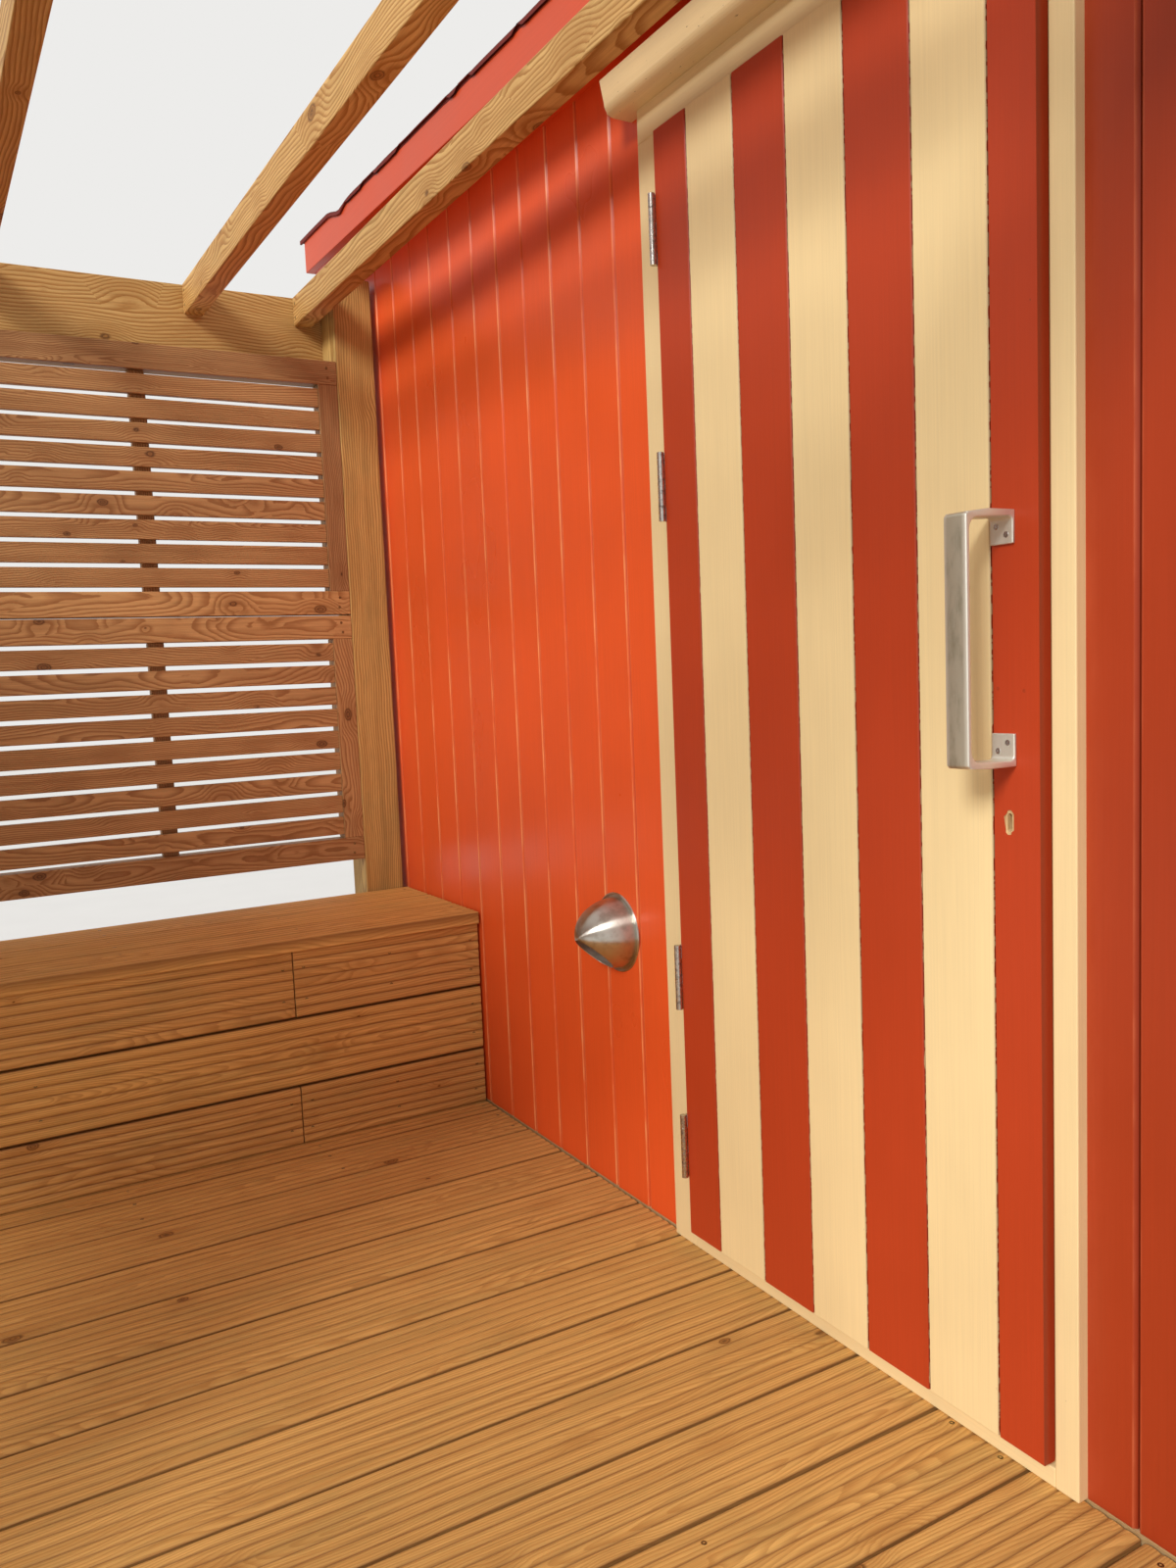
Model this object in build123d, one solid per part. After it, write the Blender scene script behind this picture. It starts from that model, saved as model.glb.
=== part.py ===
from build123d import *
from math import asin, cos, sin
import os

# Sauna cabin with a boarded terrace, in millimetres.
# X runs into the cabin from the outer face of the door wall, Y along that wall from the near corner to the
# far corner, and Z up from the ground. The terrace lies on the -X side.

cut_past = 5.0

# Cabin
cabin_length = 2475.0
cabin_depth = 2000.0
wall_thickness = 95.0
floor_level = 300.0
floor_thickness = 120.0
bearer_width = 100.0
eaves_level_far = 2341.0
roof_fall = 0.025

# Roof
roof_thickness = 70.0
roof_step = 9.0
roof_step_run = 90.0
roof_step_from_end = 285.0
overhang_front = 133.0
overhang_rear = 60.0
overhang_end = 45.0
fascia_thickness = 20.0
covering_thickness = 6.0
covering_lip = 10.0
covering_projection = 5.0
covering_end_projection = 20.0

# Doorway and frame
doorway_near = 311.0
doorway_width = 833.0
doorway_head = 1902.0
jamb_near_width = 33.0
jamb_far_width = 62.0
head_depth = 54.0
sill_height = 25.0
frame_proud = 16.0

# Door leaf
leaf_clearance = 5.0
leaf_thickness = 20.0
leaf_proud = 14.0
ledge_thickness = 25.0
ledge_height = 120.0
ledge_setback = 45.0
ledge_low = 150.0
ledge_middle = 900.0
ledge_high = 1650.0
first_board_width = 85.0
leaf_board_width = 115.0
leaf_board_joints = 6
leaf_groove_width = 6.0
leaf_groove_depth = 2.5
stop_size = 20.0
stop_clearance = 5.0

# Hinges
hinge_height = 110.0
hinge_bottom = 185.0
hinge_lower = 479.0
hinge_upper = 1290.0
hinge_top = 1692.0
hinge_knuckles = 5
hinge_barrel_radius = 5.5
hinge_pin_radius = 3.0
hinge_plate_thickness = 2.0
hinge_plate_reach = 24.0
hinge_running_gap = 0.4
hinge_barrel_gap = 0.5

# Pull handle
handle_height = 292.0
handle_level = 868.0
handle_standoff = 66.0
handle_width = 27.0
handle_thickness = 7.0
handle_foot = 38.0
handle_from_leaf_edge = 51.0
handle_bend = 9.0

# Hood over the door
hood_projection = 60.0
hood_height = 56.0
hood_past_frame = 41.0
hood_round = 27.0

# Vent cowl
cowl_radius = 75.0
cowl_brim = 7.0
cowl_flange_thickness = 3.0
cowl_projection = 93.0
cowl_wall = 2.0
cowl_flange_width = 6.0
cowl_mouth_rise = 1.0
cowl_mouth_drop = 62.0
cowl_centre_y = 1330.0
cowl_level = 509.0
dome_bands = 3

# Terrace
deck_width = 2019.0
deck_wall_gap = 5.0
board_width = 145.0
board_gap = 5.0
board_thickness = 28.0
joist_width = 47.0
joist_depth = 145.0
deck_joist_count = 6
foot_width = 95.0
terrace_past_near = 62.0
terrace_past_far = 62.0

# Posts, end beams and pergola joists
post_width = 100.0
tall_post_roof_gap = 38.75
post_wall_gap = 13.0
mid_post_near = 490.0
beam_thickness = 47.0
beam_depth = 150.0
beam_roof_gap = 10.45
pergola_joist_width = 45.0
pergola_joist_depth = 70.0
pergola_joist_first = 138.0
pergola_joist_second = 408.0
pergola_joist_pitch = 475.0
pergola_wide_bays = 3

# Slatted panels
panel_thickness = 45.0
panel_height = 625.0
panel_gap = 3.0
panel_base = 540.0
rail_height = 58.0
stile_width = 50.0
muntin_width = 37.0
muntin_thickness = 22.0
muntin_count = 3
slat_count = 9
slat_thickness = 18.0
slat_gap = 10.5

# Bench
bench_height = 454.0
bench_rows = 3
bench_nosing = 10.0
bench_end_gap = 5.0
bench_stud = 47.0
bench_frame_count = 6


def block(x0, x1, y0, y1, z0, z1):
    """A plain timber or slab between two corners."""
    return Pos((x0 + x1) / 2, (y0 + y1) / 2, (z0 + z1) / 2) * Box(x1 - x0, y1 - y0, z1 - z0)


def eaves(y):
    """Height of the wall tops, which fall gently from the far corner to the near one."""
    return eaves_level_far - roof_fall * (cabin_length - y)


# Places worked out from the sizes
deck_top = floor_level
terrace_near = -terrace_past_near
terrace_far = cabin_length + terrace_past_far
doorway_far = doorway_near + doorway_width
opening_near = doorway_near + jamb_near_width
opening_far = doorway_far - jamb_far_width
head_top = floor_level + doorway_head
head_bottom = head_top - head_depth
leaf_near = opening_near + leaf_clearance
leaf_far = opening_far - leaf_clearance
leaf_bottom = floor_level + sill_height + leaf_clearance
leaf_top = head_bottom - leaf_clearance
leaf_front = -frame_proud - leaf_proud
leaf_back = leaf_front + leaf_thickness
hinge_x = leaf_front - hinge_barrel_radius - hinge_barrel_gap
hinge_y = opening_far - leaf_clearance / 2
roof_near = -overhang_end
roof_far = cabin_length + overhang_end
deck_outer = -deck_width
post_inner_x = -post_wall_gap
wall_post_x = post_inner_x - post_width
outer_post_x = deck_outer
far_post_y = terrace_far - beam_thickness - post_width
near_post_y = terrace_near + beam_thickness
panel_far_front = far_post_y
panel_far_x1 = wall_post_x
panel_far_x0 = outer_post_x + post_width
bench_back = far_post_y - bench_end_gap
board_pitch = board_width + board_gap
bench_front = bench_back - bench_rows * board_pitch + board_gap + bench_nosing
bench_x0 = panel_far_x0 + bench_end_gap
bench_x1 = -deck_wall_gap
joist_bottom = deck_top - board_thickness - joist_depth
beam_z1 = eaves(terrace_near) - beam_roof_gap
beam_z0 = beam_z1 - beam_depth
tall_post_top = eaves(far_post_y) - tall_post_roof_gap

nodes = {}

# Cabin floor and bearers
nodes["cabin_floor"] = block(0, cabin_depth, 0, cabin_length, floor_level - floor_thickness, floor_level)
bearer_places = (0.0, (cabin_depth - bearer_width) / 2, cabin_depth - bearer_width)
nodes["cabin_bearers"] = [
    block(x, x + bearer_width, 0, cabin_length, 0, floor_level - floor_thickness) for x in bearer_places
]


def long_wall(x0, y0, y1, z0):
    """A wall along Y whose top follows the fall of the roof."""
    outline = Polyline((y0, z0), (y1, z0), (y1, eaves(y1)), (y0, eaves(y0)), close=True)
    face = Plane.YZ.offset(x0) * make_face(outline)
    return extrude(face, wall_thickness)


nodes["front_wall_near"] = long_wall(0, 0, doorway_near, floor_level)
nodes["front_wall_far"] = long_wall(0, doorway_far, cabin_length, floor_level)
nodes["front_wall_over_door"] = long_wall(0, doorway_near, doorway_far, head_top)
nodes["rear_wall"] = long_wall(cabin_depth - wall_thickness, 0, cabin_length, floor_level)


def end_wall(y0):
    """A wall along X between the two long walls."""
    y1 = y0 + wall_thickness
    x0 = wall_thickness
    x1 = cabin_depth - wall_thickness
    outline = Polyline((y0, floor_level), (y1, floor_level), (y1, eaves(y1)), (y0, eaves(y0)), close=True)
    return extrude(Plane.YZ.offset(x0) * make_face(outline), x1 - x0)


nodes["near_end_wall"] = end_wall(0)
nodes["far_end_wall"] = end_wall(cabin_length - wall_thickness)


def roof_profile(lower, upper, y0, y1):
    """A sloping strip in the YZ plane between two heights over the wall tops.

    The strip rises a little close to the far end, where the covering is packed up.
    """
    step_y = roof_far - roof_step_from_end
    risen_y = step_y + roof_step_run
    points = [(y0, eaves(y0) + lower), (y0, eaves(y0) + upper)]
    points.append((step_y, eaves(step_y) + upper))
    points.append((risen_y, eaves(risen_y) + upper + roof_step))
    points.append((y1, eaves(y1) + upper + roof_step))
    if lower > 0:
        points.append((y1, eaves(y1) + lower + roof_step))
        points.append((risen_y, eaves(risen_y) + lower + roof_step))
        points.append((step_y, eaves(step_y) + lower))
    else:
        points.append((y1, eaves(y1) + lower))
    return make_face(Polyline(*points, close=True))


def roof_strip(x0, x1, lower, upper, y0, y1):
    return extrude(Plane.YZ.offset(x0) * roof_profile(lower, upper, y0, y1), x1 - x0)


# Roof: a deck over the walls, fascias round it and a covering turned down over the fascias
front_x = -overhang_front
rear_x = cabin_depth + overhang_rear
nodes["roof_deck"] = roof_strip(
    front_x + fascia_thickness, rear_x - fascia_thickness, 0, roof_thickness,
    roof_near + fascia_thickness, roof_far - fascia_thickness)
nodes["fascia_front"] = roof_strip(
    front_x, front_x + fascia_thickness, 0, roof_thickness, roof_near, roof_far)
nodes["fascia_rear"] = roof_strip(rear_x - fascia_thickness, rear_x, 0, roof_thickness, roof_near, roof_far)


def end_fascia(y0, top_rise):
    y1 = y0 + fascia_thickness
    outline = Polyline(
        (y0, eaves(y0)), (y1, eaves(y1)),
        (y1, eaves(y1) + roof_thickness + top_rise), (y0, eaves(y0) + roof_thickness + top_rise), close=True)
    x0 = front_x + fascia_thickness
    return extrude(Plane.YZ.offset(x0) * make_face(outline), rear_x - fascia_thickness - x0)


nodes["fascia_near"] = end_fascia(roof_near, 0)
nodes["fascia_far"] = end_fascia(roof_far - fascia_thickness, roof_step)
covering_near = roof_near - covering_end_projection
covering_far = roof_far + covering_end_projection
sheet = roof_strip(
    front_x - covering_projection, rear_x + covering_projection, roof_thickness,
    roof_thickness + covering_thickness, covering_near, covering_far)
lip_low = roof_thickness - covering_lip + covering_thickness
lip_front = roof_strip(
    front_x - covering_projection, front_x, lip_low, roof_thickness + covering_thickness,
    covering_near, covering_far)
nodes["roof_covering"] = sheet + lip_front

# Door frame
frame_front = -frame_proud
sill_top = floor_level + sill_height


def frame_bar(y0, y1, z0, z1):
    return block(frame_front, wall_thickness, y0, y1, z0, z1)


nodes["door_jamb_near"] = frame_bar(doorway_near, opening_near, floor_level, head_bottom)
nodes["door_jamb_far"] = frame_bar(opening_far, doorway_far, floor_level, head_bottom)
nodes["door_head"] = frame_bar(doorway_near, doorway_far, head_bottom, head_top)
nodes["door_sill"] = frame_bar(opening_near, opening_far, floor_level, sill_top)



def door_leaf():
    """Upright boards whose joints show as V grooves on the outer face."""
    leaf = block(leaf_front, leaf_back, leaf_near, leaf_far, leaf_bottom, leaf_top)
    for i in range(leaf_board_joints):
        y = leaf_far - first_board_width - i * leaf_board_width
        groove = Polyline(
            (leaf_front, y - leaf_groove_width / 2), (leaf_front + leaf_groove_depth, y),
            (leaf_front, y + leaf_groove_width / 2), close=True)
        leaf -= extrude(Plane.XY.offset(leaf_bottom) * make_face(groove), leaf_top - leaf_bottom)
    return leaf


# Door leaf, three ledges across its back and the stops it would meet if it were pushed inwards
nodes["door_leaf"] = door_leaf()
nodes["door_ledges"] = [
    block(leaf_back, leaf_back + ledge_thickness, leaf_near + ledge_setback, leaf_far - ledge_setback,
          floor_level + z, floor_level + z + ledge_height)
    for z in (ledge_low, ledge_middle, ledge_high)
]
stop_front = leaf_back + stop_clearance
stop_back = stop_front + stop_size
nodes["door_stops"] = (
    block(stop_front, stop_back, opening_near, opening_near + stop_size, sill_top, head_bottom)
    + block(stop_front, stop_back, opening_near, opening_far, head_bottom - stop_size, head_bottom)
    + block(stop_front, stop_back, opening_far - stop_size, opening_far, sill_top, head_bottom))


def barrel(z0, z1, radius):
    return Pos(hinge_x, hinge_y, (z0 + z1) / 2) * Cylinder(radius, z1 - z0)


def knuckle_spans(level, first):
    """Lowest and highest level of every second knuckle, from the given one up."""
    z0 = floor_level + level - hinge_height / 2
    pitch = hinge_height / hinge_knuckles
    return [(z0 + i * pitch, z0 + (i + 1) * pitch) for i in range(first, hinge_knuckles, 2)]


def frame_half(level):
    """Plate on the jamb, with the outer and middle knuckles and the pin."""
    z0 = floor_level + level - hinge_height / 2
    half = block(hinge_x, hinge_x + hinge_barrel_radius + hinge_plate_reach,
                 opening_far - hinge_plate_thickness, opening_far, z0, z0 + hinge_height)
    for low, high in knuckle_spans(level, 1):
        half -= block(hinge_x - hinge_barrel_radius, hinge_x + hinge_barrel_radius + hinge_barrel_gap,
                      opening_far - 2 * hinge_plate_thickness, opening_far + hinge_plate_thickness,
                      low - hinge_running_gap, high + hinge_running_gap)
    for low, high in knuckle_spans(level, 0):
        half += barrel(low, high, hinge_barrel_radius)
    return half + barrel(z0, z0 + hinge_height, hinge_pin_radius)


def leaf_half(level):
    """Plate on the edge of the leaf, with the knuckles between, bored for the pin."""
    z0 = floor_level + level - hinge_height / 2
    bore_radius = hinge_pin_radius + hinge_running_gap
    half = block(leaf_front, leaf_back, leaf_far, leaf_far + hinge_plate_thickness, z0, z0 + hinge_height)
    for low, high in knuckle_spans(level, 1):
        half += block(hinge_x, leaf_front, leaf_far, leaf_far + hinge_plate_thickness, low, high)
        half += barrel(low, high, hinge_barrel_radius)
        half -= barrel(low - hinge_running_gap, high + hinge_running_gap, bore_radius)
    return half


hinge_levels = (hinge_bottom, hinge_lower, hinge_upper, hinge_top)
nodes["hinge_frame_plates"] = [frame_half(z) for z in hinge_levels]
nodes["hinge_leaf_plates"] = [leaf_half(z) for z in hinge_levels]


def pull_handle():
    """A flat bar bent into a D, with its two feet turned inwards against the leaf."""
    half = handle_thickness / 2
    z0 = floor_level + handle_level + half
    z1 = floor_level + handle_level + handle_height - half
    x0 = leaf_front - half
    x1 = leaf_front - handle_standoff + half
    path = FilletPolyline(
        (x0, z0 + handle_foot), (x0, z0), (x1, z0), (x1, z1), (x0, z1), (x0, z1 - handle_foot),
        radius=handle_bend)
    bar = trace(path, line_width=handle_thickness)
    y0 = leaf_near + handle_from_leaf_edge + handle_width / 2
    return extrude(Plane.XZ.offset(-y0) * bar, handle_width)


nodes["door_handle"] = pull_handle()


def hood():
    """A moulding with a rounded nose over the head of the frame."""
    y0 = doorway_near - hood_past_frame
    y1 = doorway_far + hood_past_frame
    outline = Polyline(
        (0, head_top), (-hood_projection, head_top), (-hood_projection, head_top + hood_height),
        (0, head_top + hood_height), close=True)
    body = extrude(Plane.XZ.offset(-y1) * make_face(outline), y1 - y0)
    nose = body.edges().filter_by(Axis.Y).sort_by(Axis.X)[:2]
    return fillet(nose, hood_round)


nodes["door_hood"] = hood()


def cowl():
    """A round flange and a pointed dome, open below like an eyelid.

    The dome bows over in bands, on one arc from the flange to its tip.
    """
    dome_radius = cowl_radius - cowl_brim

    def dome(radius, reach):
        bow = (reach**2 + radius**2) / (2 * radius)
        steps = [i * asin(reach / bow) / dome_bands for i in range(dome_bands)]
        curve = [(-bow * sin(a), radius - bow * (1 - cos(a))) for a in steps]
        return revolve(make_face(Polyline((0, 0), *curve, (-reach, 0), close=True)), Axis.X)

    tip_wall = cowl_wall * cowl_projection / dome_radius
    shell = dome(dome_radius, cowl_projection) - dome(dome_radius - cowl_wall, cowl_projection - tip_wall)
    lip_x = -cowl_projection - cut_past
    mouth = Polyline(
        (lip_x, cowl_mouth_rise), (-cowl_flange_thickness, -cowl_mouth_drop),
        (-cowl_flange_thickness, -2 * cowl_radius), (lip_x, -2 * cowl_radius), close=True)
    cut = extrude(Plane.XZ.offset(-2 * cowl_radius) * make_face(mouth), 4 * cowl_radius)
    ring = Pos(-cowl_flange_thickness / 2, 0, 0) * Rot(0, 90, 0) * (
        Cylinder(cowl_radius, cowl_flange_thickness)
        - Cylinder(dome_radius - cowl_flange_width, cowl_flange_thickness))
    return Pos(0, cowl_centre_y, floor_level + cowl_level) * ((shell - cut) + ring)


nodes["vent_cowl"] = cowl()

# Terrace boards, joists and feet
board_count = int((terrace_far - terrace_near) // board_pitch) + 1
deck_boards = []
for i in range(board_count):
    y0 = terrace_near + i * board_pitch
    y1 = min(y0 + board_width, terrace_far)
    deck_boards.append(block(deck_outer, -deck_wall_gap, y0, y1, deck_top - board_thickness, deck_top))
nodes["deck_boards"] = deck_boards
joist_top = deck_top - board_thickness
joist_pitch = (deck_width - joist_width) / (deck_joist_count - 1)
nodes["deck_joists"] = [
    block(-joist_width - i * joist_pitch, -i * joist_pitch, terrace_near + joist_width,
          terrace_far - joist_width, joist_bottom, joist_top)
    for i in range(deck_joist_count)
]
nodes["deck_rims"] = [
    block(deck_outer, 0, y, y + joist_width, joist_bottom, joist_top)
    for y in (terrace_near, terrace_far - joist_width)
]
middle_joist_x = -joist_width / 2 - (deck_joist_count // 2) * joist_pitch
foot_columns = (deck_outer, middle_joist_x - foot_width / 2, -foot_width)
foot_rows = (terrace_near, (terrace_near + terrace_far - foot_width) / 2, terrace_far - foot_width)
nodes["deck_feet"] = [
    block(x, x + foot_width, y, y + foot_width, 0, joist_bottom) for x in foot_columns for y in foot_rows
]


def post(x, y, top):
    return block(x, x + post_width, y, y + post_width, deck_top, top)


# Posts stand on the boards, and the one in the far corner by the wall is the tallest
nodes["post_wall_far"] = post(wall_post_x, far_post_y, tall_post_top)
nodes["post_wall_near"] = post(wall_post_x, near_post_y, beam_z1)
nodes["posts_outer"] = [post(outer_post_x, y, beam_z1) for y in (near_post_y, mid_post_near, far_post_y)]

# End beams are fixed to the outer faces of the posts, and the joists butt between them
for name, y in (("beam_near", terrace_near), ("beam_far", terrace_far - beam_thickness)):
    nodes[name] = block(deck_outer, post_inner_x, y, y + beam_thickness, beam_z0, beam_z1)
joist_offsets = [pergola_joist_first] + [
    pergola_joist_second + i * pergola_joist_pitch for i in range(pergola_wide_bays + 1)]
nodes["pergola_joists"] = [
    block(-x - pergola_joist_width, -x, terrace_near + beam_thickness, terrace_far - beam_thickness,
          beam_z1 - pergola_joist_depth, beam_z1)
    for x in joist_offsets
]


def slatted_panel(length):
    """A framed panel in its own plane: rails, stiles and slats, with muntins behind the slats."""
    inner_height = panel_height - 2 * rail_height
    slat_height = (inner_height - (slat_count + 1) * slat_gap) / slat_count
    inner_top = panel_height - rail_height
    frame = block(0, length, 0, panel_thickness, 0, panel_height)
    frame -= block(stile_width, length - stile_width, 0, panel_thickness, rail_height, inner_top)
    bay = (length - 2 * stile_width - muntin_count * muntin_width) / (muntin_count + 1)
    pieces = []
    slat_y0 = (panel_thickness - slat_thickness - muntin_thickness) / 2
    slat_y1 = slat_y0 + slat_thickness
    for i in range(slat_count):
        z0 = rail_height + slat_gap + i * (slat_height + slat_gap)
        pieces.append(block(stile_width, length - stile_width, slat_y0, slat_y1, z0, z0 + slat_height))
    for i in range(muntin_count):
        x0 = stile_width + bay + i * (bay + muntin_width)
        x1 = x0 + muntin_width
        pieces.append(block(x0, x1, slat_y1, slat_y1 + muntin_thickness, rail_height, inner_top))
    return frame.fuse(*pieces)


upper_base = panel_base + panel_height + panel_gap
end_panel = slatted_panel(panel_far_x1 - panel_far_x0)
side_panel = slatted_panel(far_post_y - mid_post_near - post_width)
for name, base in (("lower", panel_base), ("upper", upper_base)):
    z = deck_top + base
    nodes["end_screen_" + name] = Pos(panel_far_x0, panel_far_front, z) * end_panel
    nodes["side_screen_" + name] = (
        Pos(outer_post_x + post_width, mid_post_near + post_width, z) * Rot(0, 0, 90) * side_panel)

# Bench: boards over a stud frame, standing on the terrace boards
bench_top = deck_top + bench_height
bench_board_top = bench_top - board_thickness


def stacked_boards(x0, x1, y0, y1):
    """Boards on edge from the top boards down, the lowest ripped to what is left."""
    boards = []
    for i in range(bench_rows):
        z1 = bench_board_top - i * board_pitch
        z0 = max(z1 - board_width, deck_top)
        boards.append(block(x0, x1, y0, y1, z0, z1))
    return boards


bench_frame_x0 = bench_x0 + board_thickness
bench_inner = (bench_front + board_thickness, bench_back - board_thickness)
nodes["bench_front_boards"] = stacked_boards(bench_x0, bench_x1, bench_front, bench_inner[0])
nodes["bench_back_boards"] = stacked_boards(bench_x0, bench_x1, bench_inner[1], bench_back)
nodes["bench_end_boards"] = stacked_boards(bench_x0, bench_frame_x0, *bench_inner)
nodes["bench_top_boards"] = [
    block(bench_x0, bench_x1, bench_back - i * board_pitch - board_width, bench_back - i * board_pitch,
          bench_board_top, bench_top)
    for i in range(bench_rows)
]
frame_pitch = (bench_x1 - bench_frame_x0 - bench_stud) / (bench_frame_count - 1)
frame_places = [bench_frame_x0 + i * frame_pitch for i in range(bench_frame_count)]
bearer_z = bench_board_top - bench_stud
nodes["bench_studs"] = [
    block(x, x + bench_stud, y, y + bench_stud, deck_top, bearer_z)
    for x in frame_places for y in (bench_inner[0], bench_inner[1] - bench_stud)
]
nodes["bench_bearers"] = [
    block(x, x + bench_stud, *bench_inner, bearer_z, bench_board_top) for x in frame_places
]

# The origin is at the middle of the ground rectangle under the whole building
x_low = deck_outer
x_high = rear_x + covering_projection
y_low = covering_near
y_high = max(covering_far, terrace_far)
shift = Pos(-(x_low + x_high) / 2, -(y_low + y_high) / 2, 0)

os.makedirs("parts", exist_ok=True)
for name, shape in nodes.items():
    solids = shape if isinstance(shape, list) else list(shape.solids())
    placed = [shift * solid for solid in solids]
    whole = placed[0] if len(placed) == 1 else Compound(children=placed)
    export_step(whole, os.path.join("parts", name + ".step"))
print(len(nodes), "nodes, shift", shift.position)
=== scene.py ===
import math
import random
from functools import partial

import bmesh
import bpy
from mathutils import Matrix, Vector, noise


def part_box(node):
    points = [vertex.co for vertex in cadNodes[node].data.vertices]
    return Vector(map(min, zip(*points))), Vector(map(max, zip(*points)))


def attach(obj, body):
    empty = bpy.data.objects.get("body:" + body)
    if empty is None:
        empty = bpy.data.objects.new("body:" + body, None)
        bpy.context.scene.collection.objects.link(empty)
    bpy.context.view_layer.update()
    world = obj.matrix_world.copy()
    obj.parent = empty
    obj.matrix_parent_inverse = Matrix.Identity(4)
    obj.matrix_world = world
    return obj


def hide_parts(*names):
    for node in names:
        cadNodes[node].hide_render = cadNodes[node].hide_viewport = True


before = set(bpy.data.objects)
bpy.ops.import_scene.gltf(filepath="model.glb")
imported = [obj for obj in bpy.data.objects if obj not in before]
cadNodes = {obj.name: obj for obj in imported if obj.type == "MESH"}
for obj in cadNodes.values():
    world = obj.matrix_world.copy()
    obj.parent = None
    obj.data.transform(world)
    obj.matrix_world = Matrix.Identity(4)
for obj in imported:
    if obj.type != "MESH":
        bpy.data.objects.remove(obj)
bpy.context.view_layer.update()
print("frame loaded:", len(cadNodes), "nodes")

mm = 0.001
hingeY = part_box("door_leaf")[1][1]   # the leaf's hinge edge, from which places along the wall are measured
xAxis, yAxis, zAxis = Vector((1, 0, 0)), Vector((0, 1, 0)), Vector((0, 0, 1))
materials = {}


def hexToLinear(code):
    parts = [int(code[i:i + 2], 16) / 255 for i in (1, 3, 5)]
    return [p / 12.92 if p <= 0.04045 else ((p + 0.055) / 1.055) ** 2.4 for p in parts] + [1.0]


def setInputs(node, inputs):
    # inputs: a list in socket order or a dictionary; a node given as a value links its first live output
    for key, value in inputs.items() if isinstance(inputs, dict) else enumerate(inputs):
        if isinstance(value, bpy.types.Node):
            value = next(out for out in value.outputs if out.enabled)
        if isinstance(value, bpy.types.NodeSocket):
            node.id_data.links.new(value, node.inputs[key])
        elif isinstance(value, str) and value.startswith("#"):
            node.inputs[key].default_value = hexToLinear(value)
        else:
            node.inputs[key].default_value = value


def addNode(tree, kind, inputs=(), **settings):
    # kind is Blender's name without its ShaderNode, and may be followed by the node's operation
    kind, *operation = kind.split()
    whole = kind.startswith(("Geometry", "Function", "NodeGroup"))
    node = tree.nodes.new(kind if whole else "ShaderNode" + kind)
    if operation:
        node.operation = operation[0]
    for key, value in settings.items():
        setattr(node, key, value)
    setInputs(node, inputs)
    return node


def newMaterial(name):
    # its surface shader, and the function that adds nodes to its tree
    materials[name] = bpy.data.materials.new(name)
    materials[name].use_nodes = True
    tree = materials[name].node_tree
    return tree.nodes["Principled BSDF"], partial(addNode, tree)


# Timber: rings round a wandering pith, knots that bend them, and fine fibre, all along each board's own grain
timberLooks = {
    # grooved pine, pressure treated and weathered one summer: golden brown, grey-green in the grooves
    "treatedPineGrooved": dict(
        early="#E6B566", late="#B37C3A", knot="#5A3512", stain="#9C8A50", dirt="#84572C", ringSpacing=4.2,
        ringStrength=0.5, fibre=1.5, knotEvery=300, knotAcross=80, knotSize=9, toneSpread=0.16,
        stainAmount=0.3, roughness=0.62, warm=0.008),
    # sawn and regularised pine joists, treated: yellow, with bold rings and knots
    "treatedPineJoist": dict(
        early="#EDC27A", late="#B07A38", knot="#54300F", stain="#A08E54", dirt="#8A5E30", ringSpacing=6.5,
        ringStrength=0.95, fibre=1.4, knotEvery=210, knotAcross=85, knotSize=15, toneSpread=0.12,
        stainAmount=0.2, roughness=0.6, warm=0.0),
    # planed pine posts, treated: the same wood with a greener cast
    "treatedPinePost": dict(
        early="#E4BC70", late="#A57C3E", knot="#4C2F14", stain="#85804C", dirt="#74522E", ringSpacing=5.6,
        ringStrength=0.9, fibre=1.4, knotEvery=280, knotAcross=90, knotSize=12, toneSpread=0.1,
        stainAmount=0.42, roughness=0.64, warm=0.0),
    # thin planed slats and rails, oiled: a darker brown with small dark knots
    "oiledPineSlat": dict(
        early="#DCAC70", late="#9E6A3A", knot="#3A1F0F", stain="#8A7248", dirt="#6C4826", ringSpacing=4.2,
        ringStrength=0.85, fibre=1.2, knotEvery=170, knotAcross=52, knotSize=9, toneSpread=0.28,
        stainAmount=0.22, roughness=0.58, warm=0.004),
    # planed spruce lining, bare: pale, with tight rings
    "planedSpruceLining": dict(
        early="#E3C493", late="#C59B62", knot="#8A5A30", stain="#CDA56D", dirt="#A57D4C", ringSpacing=2.6,
        ringStrength=0.6, fibre=1.1, knotEvery=260, knotAcross=80, knotSize=9, toneSpread=0.14,
        stainAmount=0.1, roughness=0.55, warm=0.0),
    # sawn spruce under the building, treated: dull brown and rough
    "sawnSpruceTreated": dict(
        early="#AE8A55", late="#80603A", knot="#4A3119", stain="#6C6440", dirt="#5C452A", ringSpacing=5.0,
        ringStrength=0.6, fibre=1.8, knotEvery=300, knotAcross=90, knotSize=10, toneSpread=0.2,
        stainAmount=0.4, roughness=0.8, warm=0.0),
}


def grainSockets(node):
    # the grain position in mm, and three marks from 0 to 1: in a groove, on an edge, and the board's own tone
    grain = node("Attribute", attribute_name="grainPos").outputs["Vector"]
    marks = [node("Attribute", attribute_name=key).outputs["Fac"] for key in ("hollow", "edge", "boardTone")]
    return node("VectorMath MULTIPLY", [grain, (1000, 1000, 1000)]), *marks


def placeInMm(node):
    return node("VectorMath MULTIPLY", [node("TexCoord").outputs["Object"], (1000, 1000, 1000)])


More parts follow.
